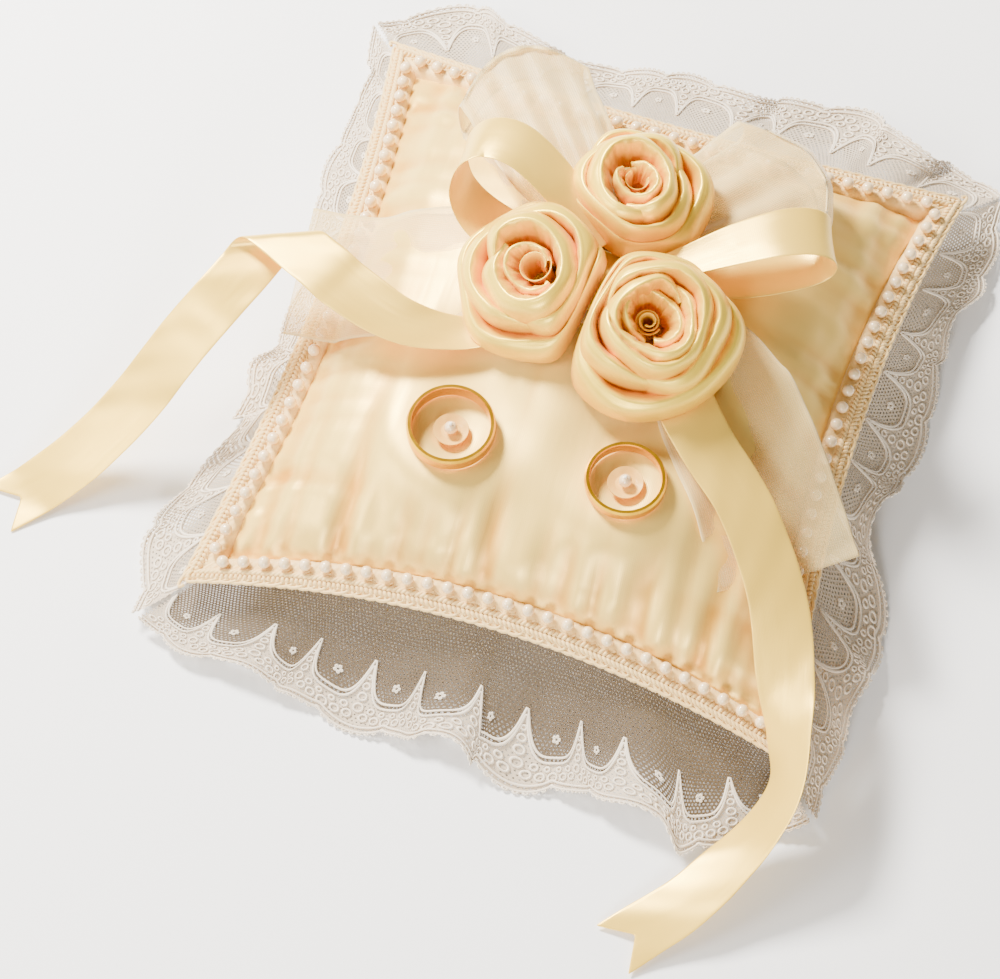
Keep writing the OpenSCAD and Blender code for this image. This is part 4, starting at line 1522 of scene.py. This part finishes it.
ROSE_WRAPS = {
    "left": (
        Wrap(30, 300, 4.9, 6.0, 12.6, 3.0, 8.0, 5.0, 0.8, 0.10, 2, 0.3, 0.5),
        Wrap(150, 410, 8.4, 9.6, 15.4, 3.4, 9.5, 7.0, 3.1, 0.10, 2, 0.5, 0.8),
        Wrap(255, 395, 12.4, 13.6, 12.2, 2.6, 7.5, 7.5, 2.9, 0.07, 3, 1.0, 0.8),
        Wrap(20, 400, 15.4, 16.8, 8.0, 2.8, 6.0, 8.0, 2.6, 0.05, 5, 2.0, 0.8),
    ),
    "back": (
        Wrap(20, 330, 4.6, 5.6, 14.4, 2.6, 7.0, 5.0, 0.7, 0.12, 2, 0.3, 0.5),
        Wrap(140, 400, 8.6, 9.8, 15.6, 3.4, 9.0, 7.0, 2.6, 0.08, 2, 0.5, 0.8),
        Wrap(250, 390, 12.0, 13.2, 12.8, 2.4, 7.0, 7.5, 2.6, 0.07, 3, 0.9, 0.8),
        Wrap(10, 400, 15.0, 16.4, 8.6, 2.6, 6.0, 8.0, 2.6, 0.06, 4, 1.8, 0.8),
    ),
    "front": (
        Wrap(40, 340, 5.2, 6.6, 12.4, 3.0, 8.5, 5.0, 1.0, 0.14, 2, 0.4, 0.6),
        Wrap(160, 400, 8.0, 8.9, 15.0, 3.0, 9.5, 6.5, 1.9, 0.08, 3, 0.5, 0.7),
        Wrap(275, 390, 10.5, 11.5, 15.2, 2.2, 7.0, 7.0, 2.1, 0.06, 3, 0.7, 0.7),
        Wrap(15, 390, 13.3, 14.3, 12.6, 2.4, 6.5, 7.5, 2.4, 0.06, 4, 1.3, 0.8),
        Wrap(140, 400, 16.2, 17.4, 8.4, 2.8, 6.0, 8.0, 2.8, 0.05, 3, 2.0, 0.9),
    ),
}


# ---- Rings and their anchors ----------------------------------------------
def rings_and_anchors() -> None:
    """Dress the CAD rings, sewn pearls, sequins and threads."""
    for node in ("ring_large", "ring_small"):
        dress_node(node, Finish.GOLD)
    for side in ("left", "right"):
        dress_node(f"anchor_pearl_{side}", Finish.PEARL)
        dress_node(f"anchor_sequin_{side}", Finish.SEQUIN)
        dress_node(f"anchor_thread_{side}", Finish.SEWING)


# ---- Stage ----------------------------------------------------------------
@dataclass(frozen=True)
class Studio:
    """Pale floor, soft lights and the camera."""

    azimuth: float = 18.03
    elevation: float = 64.0
    distance: float = 0.94
    lens: float = 134.4
    aim: tuple[float, float, float] = (-0.0086, -0.0432, 0.030)

    def direction(self, azimuth: float, elevation: float) -> Vector:
        """Unit vector from the object to a place round it."""
        a, e = math.radians(azimuth), math.radians(elevation)
        return Vector((math.sin(a) * math.cos(e), -math.cos(a) * math.cos(e), math.sin(e)))

    def camera(self) -> None:
        """Create the camera and make it the scene's."""
        data = bpy.data.cameras.new("camera")
        data.lens = self.lens
        data.sensor_width = 36.0
        data.clip_start = 0.01
        obj = bpy.data.objects.new("camera", data)
        bpy.context.scene.collection.objects.link(obj)
        obj.location = Vector(self.aim) + self.direction(self.azimuth, self.elevation) * self.distance
        obj.rotation_euler = (Vector(self.aim) - obj.location).to_track_quat("-Z", "Y").to_euler()
        bpy.context.scene.camera = obj

    def lamp(self, name: str, azimuth: float, elevation: float, distance: float, size: float,
             power: float, tint: tuple[float, float, float]) -> None:
        """Add a square area lamp that faces the pillow."""
        data = bpy.data.lights.new(name, "AREA")
        data.shape = "SQUARE"
        data.size = size
        data.energy = power
        data.color = tint
        obj = bpy.data.objects.new(name, data)
        bpy.context.scene.collection.objects.link(obj)
        obj.location = self.direction(azimuth, elevation) * distance
        obj.rotation_euler = (-obj.location).to_track_quat("-Z", "Y").to_euler()

    def floor(self) -> None:
        """Lay a wide pale floor."""
        bm = bmesh.new()
        bmesh.ops.create_grid(bm, x_segments=1, y_segments=1, size=4000)
        bmesh.ops.translate(bm, verts=bm.verts, vec=(0, 0, -0.05))
        obj = to_object(bm, "floor")
        material, t, shader = new_material("pale_floor")
        grain = t.add("ShaderNodeTexNoise", Scale=3.0)
        tone = t.blend(grain.outputs["Fac"], colour(0.95, 0.95, 0.95), colour(0.93, 0.93, 0.93))
        t.feed(shader.inputs["Base Color"], tone)
        shader.inputs["Roughness"].default_value = 0.9
        obj.data.materials.append(material)

    def world(self) -> None:
        """Light the scene softly from all round."""
        world = bpy.data.worlds.new("studio")
        world.use_nodes = True
        background = world.node_tree.nodes["Background"]
        background.inputs["Color"].default_value = (1.0, 0.93, 0.83, 1.0)
        background.inputs["Strength"].default_value = 0.40
        bpy.context.scene.world = world

    def build(self) -> None:
        """Set up the whole studio."""
        self.camera()
        self.floor()
        self.world()
        self.lamp("key", -122, 44, 0.9, 0.20, 37.0, (1.0, 0.97, 0.92))
        self.lamp("left", -60, 35, 1.0, 0.40, 9.0, (1.0, 0.96, 0.9))
        self.lamp("front_fill", 8, 24, 1.0, 0.30, 11.0, (1.0, 0.98, 0.95))


def main() -> None:
    """Make every piece in order."""
    logging.basicConfig(level=logging.INFO, format="%(name)s %(message)s")
    Studio().build()
    form = PillowShape()
    Pillow(form).build()
    for side in Side:
        line = EdgeLine(form, side)
        reach, depth, painted_side_light, bulges = RUFFLES[side]
        Lace(line, reach, depth, bulges=bulges, painted_side_light=painted_side_light).build()
        Braid(line, pearls=28 if side.value % 2 == 0 else 30).build()
    Bow(form).build()
    for name, lean, spin, loose, turn, radii, height, shift, size in ROSES:
        others = tuple(other for key, other in ROSE_SPOTS.items() if key != name)
        Rose(name, ROSE_SPOTS[name], lean, spin, ROSE_WRAPS[name], loose, turn, radii, height,
             shift, size, neighbours=others).build()
    rings_and_anchors()


if __name__ == "__main__":
    main()
